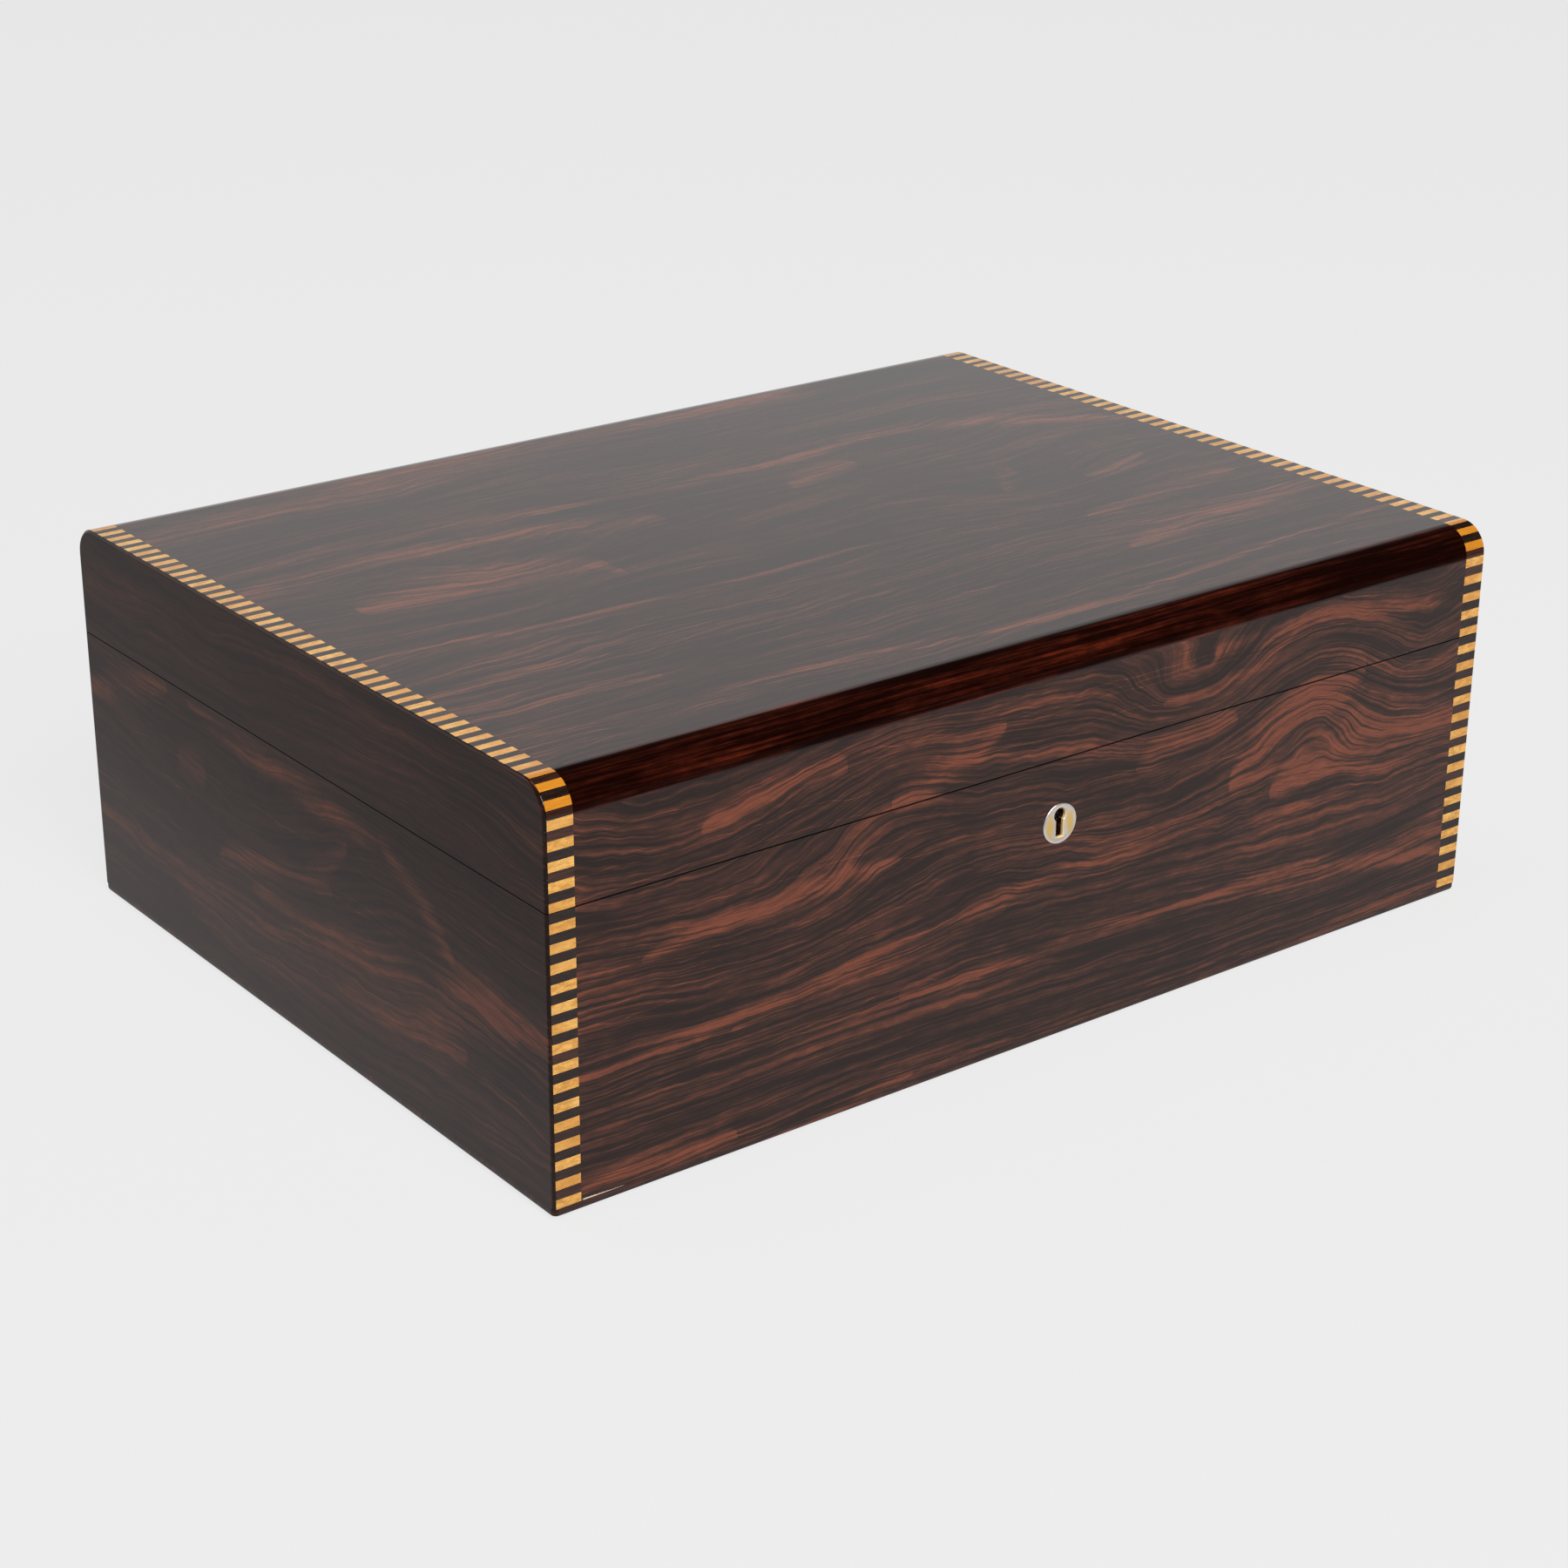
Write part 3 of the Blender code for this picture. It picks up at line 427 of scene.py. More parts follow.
front_veneer = veneer(
    "front_veneer",
    "XZY",
    swells=(
        (60, 103, 34, 16, 21),
        (108, 84, 30, 22, -18),
        (150, 96, 30, 20, 12),
        (-115, 76, 50, 24, 12),
        (-62, 100, 30, 16, -9),
        (-20, 62, 60, 20, -6),
        (120, 30, 60, 18, 5),
    ),
    flames=(
        (-175, 42, -20, 50, -2, 2.4),
        (-120, 39, 10, 56, 3, 2.6),
        (-10, 55, 175, 54, -1, 2.0),
        (-64, 94, -22, 108, -2, 4.2),
        (-130, 104, -80, 110, 3, 4.0),
        (-150, 70, -60, 76, 3, 2.4),
        (30, 82, 72, 88, 1, 4.5),
        (70, 66, 128, 92, 3, 8.0),
        (88, 60, 176, 62, 8, 8.5),
        (60, 112, 172, 104, 5, 3.2),
        (40, 100, 96, 112, -6, 2.2),
        (-60, 32, 110, 28, 1, 2.0),
        (40, 34, 176, 16, 2, 2.2),
        (-172, 5.0, -118, 6.5, 1, 3.6),
        (-84, 5.5, -54, 6.0, 0, 1.6),
    ),
    wander=26,
    calm=("Z", 20, 75),
    Flush=0.36,
)


def chip_the_joint(material):
    """A sliver of lacquer has lifted along the foot of the front, near its left end."""
    tree = material.node_tree
    shader = next(node for node in tree.nodes if node.type == "BSDF_PRINCIPLED")
    place = add(tree, "TexCoord").outputs["Object"]
    parts = add(tree, "SeparateXYZ", {0: place}).outputs
    whole = shader.inputs["Base Color"].links[0].from_socket
    ragged = noise(tree, *parts, (700, 700, 700), 2.0, 0.5, seed=4.0)
    top = fade(tree, parts[X], -172 * MM, -157 * MM, 4.20 * MM, 3.80 * MM)
    top = maths(tree, "MULTIPLY_ADD", maths(tree, "SUBTRACT", ragged, 0.5), 0.4 * MM, top)
    low = maths(tree, "LESS_THAN", parts[Z], top)
    start = fade(tree, parts[X], -170.9 * MM, -169.9 * MM)
    end = fade(tree, parts[X], -156.5 * MM, -158.0 * MM)
    chip = maths(tree, "MULTIPLY", low, maths(tree, "MULTIPLY", start, end))
    feed(tree, shader, Base_Color=blend(tree, chip, whole, (0.60, 0.50, 0.40)))


chip_the_joint(front_veneer)


def only(obj):
    """Selects one object and nothing else."""
    bpy.ops.object.select_all(action="DESELECT")
    obj.select_set(True)
    bpy.context.view_layer.objects.active = obj


def pick(obj, test):
    """Leaves edit mode on, with only the points whose place passes the test selected."""
    only(obj)
    bpy.ops.object.mode_set(mode="EDIT")
    bpy.ops.mesh.select_mode(type="VERT")
    bpy.ops.mesh.select_all(action="DESELECT")
    bpy.ops.object.mode_set(mode="OBJECT")
    for point in obj.data.vertices:
        point.select = test(point.co)
    bpy.ops.object.mode_set(mode="EDIT")
    bpy.ops.mesh.select_mode(type="VERT")


def worked_from(node, name):
    """A new piece worked from a CAD solid, its triangles merged back into plain faces."""
    obj = bpy.data.objects.new(name, frame["nodes"][node].data.copy())
    bpy.context.scene.collection.objects.link(obj)
    only(obj)
    obj.data.materials.clear()
    bpy.ops.mesh.customdata_custom_splitnormals_clear()
    bpy.ops.object.mode_set(mode="EDIT")
    bpy.ops.mesh.select_all(action="SELECT")
    bpy.ops.mesh.remove_doubles(threshold=2e-6)
    bpy.ops.mesh.dissolve_limited(angle_limit=math.radians(0.5))
    bpy.ops.mesh.normals_make_consistent(inside=False)
    bpy.ops.object.mode_set(mode="OBJECT")
    return obj


def slide(obj, axis, *moves):
    """Moves all points at one place on an axis to another, given as (from, to) pairs in mm."""
    for old, new in moves:
        pick(obj, lambda co: abs(co[axis] - old * MM) < 0.02 * MM)
        step = [0, 0, 0]
        step[axis] = (new - old) * MM
        bpy.ops.transform.translate(value=step)
        bpy.ops.object.mode_set(mode="OBJECT")


def apply(obj, kind, **settings):
    """Adds a modifier and applies it."""
    only(obj)
    modifier = obj.modifiers.new(kind.lower(), kind)
    for option, value in settings.items():
        setattr(modifier, option, value)
    bpy.ops.object.modifier_apply(modifier=modifier.name)


def ease(obj, test, width, segments=2):
    """Rounds the edges whose two ends pass the test. The width is in millimetres."""
    pick(obj, test)
    bpy.ops.mesh.bevel(offset=width * MM, segments=segments, clamp_overlap=True)
    bpy.ops.object.mode_set(mode="OBJECT")


def smooth(obj, degrees=40):
    """Shades the piece smooth up to an angle, keeping its broad faces flat."""
    only(obj)
    bpy.ops.object.shade_smooth_by_angle(angle=math.radians(degrees))
    apply(obj, "WEIGHTED_NORMAL", keep_sharp=True, mode="FACE_AREA", weight=100)


def finish_piece(obj, materials, body, nodes):
    """Gives a finished piece its materials and its place in the assembly."""
    for material in materials:
        obj.data.materials.append(material)
    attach(obj, body)
    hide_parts(*nodes)


# The glue lines of the solids are 0.3 mm wide; under the lacquer the boards meet face to face,
# each moved by half of that. Only the saw line between the base and the lid stays open, its
# lips just broken with paper.
GLUE = 0.15
FOOT, SAWN_BASE, SAWN_LID, CEILING = 3.7, 92.05, 92.35, 118.2
BAND_X, BAND_Y, LIPPING_Y = 171, 131, 124
INNER_X, INNER_Y = 168, 122


def close_ends(board):
    """Brings a long board's two ends up to the banding."""
    slide(board, X, (-BAND_X + GLUE, -BAND_X), (BAND_X - GLUE, BAND_X))


front_board = worked_from("front_wall", "front_board")
close_ends(front_board)
slide(front_board, Z, (FOOT + GLUE, FOOT))
ease(front_board, lambda co: co.z > (SAWN_BASE - 0.05) * MM and co.y < -133.9 * MM, 0.12)
smooth(front_board)
finish_piece(front_board, [front_veneer], "base", ["front_wall"])

lid_front_board = worked_from("lid_front_rail", "lid_front_board")
close_ends(lid_front_board)
slide(lid_front_board, Z, (CEILING - GLUE, CEILING))
ease(lid_front_board, lambda co: co.z < (SAWN_LID + 0.05) * MM and co.y < -133.9 * MM, 0.12)
smooth(lid_front_board)
finish_piece(lid_front_board, [front_veneer], "lid", ["lid_front_rail"])


# Back veneer. The next leaf from the same log, so it's like the front but not a copy of it.
# It is cut away round the two hinges.

back_veneer = veneer(
    "back_veneer",
    "XZY",
    swells=((-70, 95, 60, 24, -14), (60, 50, 70, 30, 11), (140, 90, 50, 24, -10)),
    flames=(
        (-176, 60, -30, 66, 5, 4.5),
        (-60, 44, 120, 50, -4, 3.0),
        (20, 96, 110, 84, 5, 5.0),
        (-150, 24, 60, 18, 3, 2.4),
        (90, 30, 176, 40, 3, 4.0),
        (-120, 108, -40, 104, 3, 3.0),
    ),
    shift=(420, 35, 60),
    wander=26,
    Flush=0.36,
)
back_board = worked_from("back_wall", "back_board")
close_ends(back_board)
slide(back_board, Z, (FOOT + GLUE, FOOT))
smooth(back_board)
finish_piece(back_board, [back_veneer], "base", ["back_wall"])

lid_back_board = worked_from("lid_back_rail", "lid_back_board")
close_ends(lid_back_board)
slide(lid_back_board, Z, (CEILING - GLUE, CEILING))
smooth(lid_back_board)
finish_piece(lid_back_board, [back_veneer], "lid", ["lid_back_rail"])


# End boards. Each end is one board sawn through with the rest. Its edges are rounded over and
# polished, and a thin lip of it covers the ends of the banding blocks.

left_veneer = veneer(
    "left_veneer",
    "YZX",
    swells=((40, 60, 55, 22, 10), (-60, 62, 40, 20, -9), (-110, 40, 40, 20, -8)),
    flames=(
        (145, 33, 40, 29, -2, 3.4),
        (85, 29, -92, 33, -4, 10.0),
        (30, 40, -84, 43, -2, 7.5),
        (-60, 27, -120, 52, 7, 9.0),
        (-78, 40, -112, 56, 2, 8.0),
        (140, 71, 78, 90, 1, 4.5),
        (66, 90, -50, 82, -2, 3.4),
        (-48, 83, -88, 58, 3, 4.0),
        (-84, 59, -138, 53, -2, 3.4),
        (74, 68, 56, 68, 0, 4.5),
        (-4, 58, -30, 74, -2, 4.0),
        (50, 44, -20, 56, 3, 4.0),
    ),
    shift=(130, 300, 0),
    wander=22,
    combed=("Y", -40, -120),
    Line_Contrast=0.62,
    Flush=0.23,
)
right_veneer = veneer(
    "right_veneer",
    "YZX",
    swells=((-50, 70, 60, 22, -9), (70, 50, 50, 20, 9)),
    flames=(
        (-138, 40, 0, 48, 4, 4.5),
        (-20, 50, 138, 36, -3, 5.5),
        (-90, 84, 40, 78, 3, 2.4),
        (60, 76, 138, 70, 2, 2.6),
        (-120, 18, 30, 22, -2, 2.0),
    ),
    shift=(640, 330, 0),
    wander=24,
    Line_Contrast=0.5,
    Flush=0.26,
)
for word, side, surface in (("left", -1, left_veneer), ("right", 1, right_veneer)):
    end_board = worked_from(f"{word}_wall", f"{word}_end_board")
    slide(end_board, Z, (FOOT + GLUE, FOOT))
    for place in (BAND_Y, INNER_Y):
        slide(end_board, Y, (-place + GLUE, -place), (place - GLUE, place))
    slide(end_board, X, (side * (BAND_X + GLUE), side * BAND_X))
    smooth(end_board, 35)
    finish_piece(end_board, [surface], "base", [f"{word}_wall"])
    lid_end = worked_from(f"lid_{word}_rail", f"lid_{word}_end_board")
    smooth(lid_end, 35)
    finish_piece(lid_end, [surface], "lid", [f"lid_{word}_rail"])


# Top board. A wide leaf of rosewood with a knot to the left of the middle and quiet, nearly
# straight grain along the front, glued in between the two rounded lippings.

top_veneer = veneer(
    "top_veneer",
    "XYZ",
    swells=(
        (-88, 8, 42, 22, 17),
        (-60, -14, 34, 14, -9),
        (90, -10, 40, 22, 12),
        (135, 40, 30, 34, -12),
        (20, 60, 90, 30, -6),
    ),
    flames=(
        (-182, 102, 40, 122, 4, 9.0),
        (-60, 116, 110, 127, 1, 8.0),
        (-182, 58, -40, 58, 5, 3.2),
        (-178, 41, -84, 42, 8, 6.0),
        (-90, 48, -26, 30, -1, 7.0),
        (-60, 58, 90, 60, -4, 3.4),
        (70, 62, 172, 24, 10, 6.0),
        (-150, 10, -66, 4, 6, 11.0),
        (-80, 8, -66, -6, 3, 5.0),
        (80, -16, 98, 2, 2, 4.5),
        (112, -18, 146, -8, -2, 5.0),
        (26, 30, 60, 40, 2, 5.0),
        (84, -50, 158, -42, 1, 4.5),
        (74, -81, 184, -66, 1, 6.0),
        (-182, -62, -110, -64, 1, 2.4),
        (-172, -84, -108, -86, 1, 2.0),
        (-176, -26, 40, -32, -4, 1.4),
        (-40, -110, 70, -116, -3, 1.4),
        (40, -115, 176, -100, 2, 1.8),
        (-172, -104, -20, -108, 1, 1.4),
    ),
    shift=(210, 150, 0),
    wander=24,
    combed=("Y", 10, -70),
    Line_Contrast=0.8,
    Flush=0.24,
)
top_board = worked_from("lid_top_panel", "top_board")
close_ends(top_board)
slide(top_board, Y, (-LIPPING_Y + GLUE, -LIPPING_Y), (LIPPING_Y - GLUE, LIPPING_Y))
slide(top_board, Z, (CEILING + GLUE, CEILING))
smooth(top_board)
finish_piece(top_board, [top_veneer], "lid", ["lid_top_panel"])


# Lippings. Two solid strips along the top's front and back edges, planed to a quarter round.
# They are straight-grained and very dark, with red lines that run the whole length.

lipping_wood = veneer(
    "lipping_wood",
    "XYZ",
    shift=(900, 40, 75),
    wander=3,
    Line_Contrast=1.1,
    Flush=0.28,
    Stain=(0.56, 0.28, 0.22, 1),
)
for word, side in (("front", -1), ("back", 1)):
    nosing = worked_from(f"lid_{word}_lipping", f"{word}_lipping")
    close_ends(nosing)
    slide(nosing, Y, (side * (LIPPING_Y + GLUE), side * LIPPING_Y))
    slide(nosing, Z, (CEILING + GLUE, CEILING))
    smooth(nosing, 30)
    finish_piece(nosing, [lipping_wood], "lid", [f"lid_{word}_lipping"])


# Sole. A thin rosewood board under the whole base. Its edge shows as a dark line below the
# lowest blocks, and its corners and lower edge are eased.

sole_wood = veneer("sole_wood", "XYZ", shift=(50, 700, 20), wander=10, Flush=0.25)
sole = worked_from("sole_board", "sole")
slide(sole, Z, (FOOT - GLUE, FOOT))
smooth(sole, 30)
finish_piece(sole, [sole_wood], "base", ["sole_board"])


# Block banding. Golden satinwood blocks alternate with dark rosewood ones in strips let into
# the front, the back and the top beside each end. Every block is its own piece of wood with
# its grain along the box, and no two are quite the same colour.

BLOCK_LOW, BLOCK_HIGH = BAND_X, 179.2
BLOCK_DEEP = 3
PITCH, PALE = 5.9, 2.95
TOP_Z, FRONT_Y, ROUND = 128.2, HALF_DEPTH, 9.5
# Along the top: a pale block's length, how far in the first one starts, and the pitches.
TOP_PALE, TOP_START, TOP_PITCHES = 2.97, 7.7, 42


def make_block_wood(name, pale):
    """Block wood. Its tone comes from the attribute that each block carries, which also holds the
    painted shade of the pale blocks on the rounded corner.
    """
    material, tree, shader, place = new_material(name)
    tone = add(tree, "Attribute", attribute_name="block_tone").outputs["Fac"]
    parts = add(tree, "SeparateXYZ", {0: place}).outputs
    shift = maths(tree, "MULTIPLY", tone, 3.0)
    along = maths(tree, "ADD", parts[X], shift)
    ray = noise(tree, along, parts[Y], parts[Z], (420, 900, 900), 3.0, 0.65, seed=1.0)
    fibre = noise(tree, along, parts[Y], parts[Z], (150, 3600, 3600), 2.0, 0.6, seed=5.0)
    cloud = noise(tree, along, parts[Y], parts[Z], (120, 160, 160), 1.0, 0.5, seed=9.0)
    if pale:
        light = blend(tree, tone, (0.80, 0.44, 0.105), (0.62, 0.27, 0.050))
        mixed = blend(tree, fade(tree, ray, 0.38, 0.62), (0.56, 0.255, 0.050), light)
        mixed = blend(tree, fade(tree, cloud, 0.45, 0.75, 0, 0.40), mixed, (0.90, 0.56, 0.17))
        # Painted shade: the pale blocks on the rounded corner, whose tone is 2 higher, are painted a
        # deeper orange for how the curve looks in the light.
        mixed = blend(tree, fade(tree, tone, 1.2, 2.0, 0, 0.9), mixed, (0.53, 0.195, 0.014))
        speck = noise(tree, along, parts[Y], parts[Z], (1500, 2200, 2200), 2.0, 0.6, seed=2.0)
        mixed = blend(tree, fade(tree, speck, 0.58, 0.72, 0, 0.45), mixed, (0.33, 0.12, 0.02))
        grain = fade(tree, fibre, 0.3, 0.7, 0.88, 1.10)
    else:
        mixed = blend(tree, fade(tree, tone, 0.45, 1.0), (0.014, 0.0075, 0.0060), (0.050, 0.017, 0.011))
        mixed = blend(tree, fade(tree, ray, 0.45, 0.8, 0, 0.5), mixed, (0.045, 0.018, 0.011))
        grain = fade(tree, fibre, 0.3, 0.7, 0.55, 1.35)
    colour = shaded(tree, mixed, grain)
    marks = use(tree, handling_marks, Edge=edge_mask(tree, place, 2.2)).outputs
    colour = blend(tree, marks["Nick"], colour, (0.62, 0.50, 0.36))
    feed(
        tree,
        shader,
        Base_Color=colour,
        Roughness=fade(tree, marks["Rub"], 0, 1, 0.40, 0.55),
        Normal=bump(tree, fibre, 0.10, 0.0001),
        Specular_IOR_Level=0.0,
        **LACQUER,
    )
    return material


pale_block_wood = make_block_wood("pale_block_wood", True)
dark_block_wood = make_block_wood("dark_block_wood", False)


def tone_of(seed):
    """A block's own tone, from 0 to 1, always the same for the same seed."""
    return (math.sin(seed * 12.9898 + 4.1) * 43758.5453) % 1.0


def flat_block(low, high):
    """One straight block, given its lowest and highest corners in millimetres."""
    size = [(b - a) * MM for a, b in zip(low, high)]
    middle = [(a + b) / 2 * MM for a, b in zip(low, high)]
    bpy.ops.mesh.primitive_cube_add(size=1, location=middle, scale=size)


def bent_block(x_low, x_high, start, end, side):
    """One block on the rounded corner, turned about the round's centre, in degrees from level."""
    middle_x = (x_low + x_high) / 2 * MM
    radius = (ROUND - BLOCK_DEEP / 2) * MM
    centre = Vector((middle_x, side * (FRONT_Y - ROUND) * MM, (TOP_Z - ROUND) * MM))
    spread = Vector((0, side * math.cos(math.radians(start)), math.sin(math.radians(start))))
    bpy.ops.mesh.primitive_plane_add(size=1, location=(0, 0, 0))
    made = bpy.context.object
    bpy.ops.object.mode_set(mode="EDIT")
    bpy.ops.transform.resize(value=((x_high - x_low) * MM, BLOCK_DEEP * MM, 1))
    bpy.ops.object.mode_set(mode="OBJECT")
    made.rotation_euler = (math.atan2(spread.z, spread.y), 0, 0)
    made.location = centre + spread * radius
    bpy.ops.object.transform_apply(location=True, rotation=True, scale=False)
    bpy.ops.object.mode_set(mode="EDIT")
    bpy.ops.mesh.select_all(action="SELECT")
    angle = math.radians(end - start) * (1 if side < 0 else -1)
    bpy.ops.mesh.spin(steps=3, angle=angle, center=centre, axis=(1, 0, 0))
    bpy.ops.mesh.select_all(action="SELECT")
    bpy.ops.mesh.remove_doubles(threshold=1e-6)
    bpy.ops.mesh.normals_make_consistent(inside=False)
    bpy.ops.object.mode_set(mode="OBJECT")


def blocks_up(low, high):
    """(from, to, pale) for the upright part of a strip, in height, between two heights."""
    made = []
    step = -1
    while FOOT - 0.1 + step * PITCH < high:
        foot = FOOT - 0.1 + step * PITCH
        for start, end, pale in ((foot, foot + PALE, True), (foot + PALE, foot + PITCH, False)):
            start, end = max(start, low), min(end, high)
            if end - start > 0.05:
                made.append((start, end, pale))
        step += 1
    return made


def close_strip(name, tones, body, node):
    """Joins the blocks of a strip that were just made, in order, and finishes the strip."""
    blocks = [o for o in bpy.data.objects if o.name.startswith("block_")]
    blocks.sort(key=lambda o: o.name)
    for block, (tone, pale) in zip(blocks, tones):
        block.data.materials.append(pale_block_wood)
        block.data.materials.append(dark_block_wood)
        values = block.data.attributes.new("block_tone", "FLOAT", "FACE")
        values.data.foreach_set("value", [tone] * len(block.data.polygons))
        for face in block.data.polygons:
            face.material_index = 0 if pale else 1
    bpy.ops.object.select_all(action="DESELECT")
    for block in blocks:
        block.select_set(True)
    bpy.context.view_layer.objects.active = blocks[0]
    bpy.ops.object.join()
    bpy.ops.object.transform_apply(location=True, rotation=True, scale=True)
    strip = bpy.context.object
    strip.name = name
    strip.data.name = name
    smooth(strip, 30)
    finish_piece(strip, [], body, [node])


def note_block(tones, pale, round_shade=0):
    """Names the block that was just made, and gives it the next tone, plus any painted shade."""
    bpy.context.object.name = f"block_{len(tones):03d}"
    tones.append((tone_of(next(seeds)) + round_shade, pale))


seeds = itertools.count(1)
for word, end_side in (("left", -1), ("right", 1)):
    x_low, x_high = sorted((end_side * BLOCK_LOW, end_side * BLOCK_HIGH))
    for face, side in (("front", -1), ("back", 1)):
        y_low, y_high = sorted((side * (FRONT_Y - BLOCK_DEEP), side * FRONT_Y))
        tones = []
        for start, end, pale in blocks_up(FOOT, SAWN_BASE):
            flat_block((x_low, y_low, start), (x_high, y_high, end))
            note_block(tones, pale)
        close_strip(f"{face}_{word}_blocks", tones, "base", f"{face}_{word}_banding")

        # The lid's riser goes on up and half way round the corner, to its mitre.
        tones = []
        for start, end, pale in blocks_up(SAWN_LID, TOP_Z - ROUND):
            flat_block((x_low, y_low, start), (x_high, y_high, end))
            note_block(tones, pale)
        for start, end, pale in ((0, 15.7, False), (15.7, 31.7, True), (31.7, 45, False)):
            bent_block(x_low, x_high, start, end, side)
            # A pale block on the rounded corner gets 2 more on its tone: painted shade, drawn as a
            # deeper orange.
            note_block(tones, pale, 2 if pale else 0)
        close_strip(f"lid_{face}_{word}_blocks", tones, "lid", f"lid_{face}_{word}_banding")

    # The top's strip runs from mitre to mitre over the whole depth of the box.
    tones = []
    for side in (-1, 1):
        turns = ((45, 47.6, False), (47.6, 63.3, True), (63.3, 79, False), (79, 90, True))
        for start, end, pale in turns:
            bent_block(x_low, x_high, start, end, side)
            # A pale block on the rounded corner gets 2 more on its tone: painted shade, drawn as a
            # deeper orange.
            note_block(tones, pale, 2 if pale else 0)
    first, last = -FRONT_Y + ROUND, FRONT_Y - ROUND
    step = (2 * FRONT_Y - 2 * TOP_START - TOP_PALE) / TOP_PITCHES
    for turn in range(TOP_PITCHES + 1):
        foot = -FRONT_Y + TOP_START + turn * step
        for start, end, pale in ((foot, foot + TOP_PALE, True), (foot + TOP_PALE, foot + step, False)):
            start, end = max(start, first), min(end, last)
            if end - start > 0.05:
                flat_block((x_low, start, TOP_Z - BLOCK_DEEP), (x_high, end, TOP_Z))
                note_block(tones, pale)
    close_strip(f"lid_{word}_top_blocks", tones, "lid", f"lid_{word}_top_banding")


# Escutcheon. A turned disc of nickel-plated brass, let into the front and standing just proud.
# Its rim is rounded, its face slightly dished, and the keyhole's edge is broken for the key.


def make_metal_wear():
    """Fine rubbing marks and slow tarnish, for the metal fittings."""
    takes = (("Rub Scale", "Float", 1.0), ("Tarnish", "Float", 0.5))
    gives = (("Shade", "Float"), ("Roughness", "Float"), ("Height", "Float"))
    group, inside, outside = new_group("metal_wear", takes, gives)
    place = add(group, "TexCoord").outputs["Object"]
    parts = add(group, "SeparateXYZ", {0: place}).outputs
    scaled = [maths(group, "MULTIPLY", part, inside["Rub Scale"]) for part in parts]
    rub = noise(group, *scaled, (500, 2600, 9000), 2.0, 0.6, seed=3.0)
    cloud = noise(group, *parts, (160, 160, 160), 3.0, 0.6, seed=6.0)
    stain = maths(group, "MULTIPLY", fade(group, cloud, 0.42, 0.72), inside["Tarnish"])
    shade = maths(group, "MULTIPLY_ADD", maths(group, "SUBTRACT", rub, 0.5), 0.14, stain)
    group.links.new(shade, outside["Shade"])
    group.links.new(fade(group, rub, 0.2, 0.8, 0.20, 0.30), outside["Roughness"])
    group.links.new(rub, outside["Height"])
    return group


metal_wear = make_metal_wear()


def make_metal(name, bright, dull, tarnish, rub_scale=1.0):
    """A polished metal that has dulled in places."""
    material, tree, shader, place = new_material(name)
    wear = use(tree, metal_wear, Rub_Scale=rub_scale, Tarnish=tarnish).outputs
    feed(
        tree,
        shader,
        Base_Color=blend(tree, wear["Shade"], bright, dull),
        Roughness=wear["Roughness"],
        Metallic=1.0,
        Normal=bump(tree, wear["Height"], 0.10, 0.000006),
    )
    return material, tree, shader, place


def make_plated_brass():
    """Nickel over brass, rubbed through to the brass on both sides of the keyhole."""
    pale, worn = (0.72, 0.66, 0.60), (0.52, 0.455, 0.39)
    material, tree, shader, place = make_metal("plated_brass", pale, worn, 0.5)
    parts = add(tree, "SeparateXYZ", {0: place}).outputs
    side = maths(tree, "SUBTRACT", maths(tree, "ABSOLUTE", parts[X]), 3.9 * MM)
    wide = maths(tree, "DIVIDE", side, 1.1 * MM)
    high = maths(tree, "DIVIDE", maths(tree, "SUBTRACT", parts[Z], 71.2 * MM), 3.0 * MM)
    wide = maths(tree, "MULTIPLY", wide, wide)
    spread = maths(tree, "MULTIPLY_ADD", high, high, wide)
    patch = noise(tree, *parts, (500, 500, 500), 2.0, 0.5, seed=2.0)
    spread = maths(tree, "ADD", spread, maths(tree, "SUBTRACT", patch, 0.5))
    rubbed = fade(tree, spread, 2.6, 0.1, 0.0, 0.85)
    plate = shader.inputs["Base Color"].links[0].from_socket
    dull = maths(tree, "ADD", shader.inputs["Roughness"].links[0].from_socket, 0.14)
    shine = blend(tree, rubbed, plate, (0.80, 0.52, 0.11))
    feed(tree, shader, Base_Color=shine, Roughness=dull)
    return material


def make_keyed_brass():
    """Bare brass round the keyhole, left dull by the key."""
    bright, worn = (0.94, 0.70, 0.36), (0.62, 0.40, 0.16)
    material, tree, shader, place = make_metal("keyed_brass", bright, worn, 0.6)
    dull = maths(tree, "ADD", shader.inputs["Roughness"].links[0].from_socket, 0.30)
    feed(tree, shader, Roughness=dull, Metallic=0.35)
    return material


plated_brass = make_plated_brass()
keyed_brass = make_keyed_brass()
DISC_Z, DISC_RADIUS, DISC_FRONT = 71.7, 6.45, -134.4
KEY_Z, KEY_RADIUS, SLOT_WIDTH, SLOT_FOOT = 74.3, 2.2, 2.75, 67.3

bpy.ops.object.select_all(action="DESELECT")
bpy.ops.mesh.primitive_cylinder_add(
    vertices=96,
    radius=DISC_RADIUS * MM,
    depth=1.2 * MM,
    location=(0, (DISC_FRONT + 0.6) * MM, DISC_Z * MM),
    rotation=(math.pi / 2, 0, 0),
)
disc = bpy.context.object
disc.name = "keyhole_escutcheon"
bpy.ops.object.transform_apply(location=True, rotation=True, scale=True)
ease(disc, lambda co: co.y < (DISC_FRONT + 0.1) * MM, 0.38, 4)
for inset, back in ((0.55, 0.0), (0.35, 0.07), (0.5, 0.05)):
    only(disc)
    bpy.ops.object.mode_set(mode="EDIT")
    bpy.ops.mesh.select_mode(type="FACE")
    bpy.ops.mesh.select_all(action="DESELECT")
    bpy.ops.object.mode_set(mode="OBJECT")
    face = max(disc.data.polygons, key=lambda f: (len(f.vertices), -f.center.y))
    face.select = True
    bpy.ops.object.mode_set(mode="EDIT")
    bpy.ops.mesh.inset(thickness=inset * MM, depth=0)
    bpy.ops.transform.translate(value=(0, back * MM, 0))
    bpy.ops.object.mode_set(mode="OBJECT")

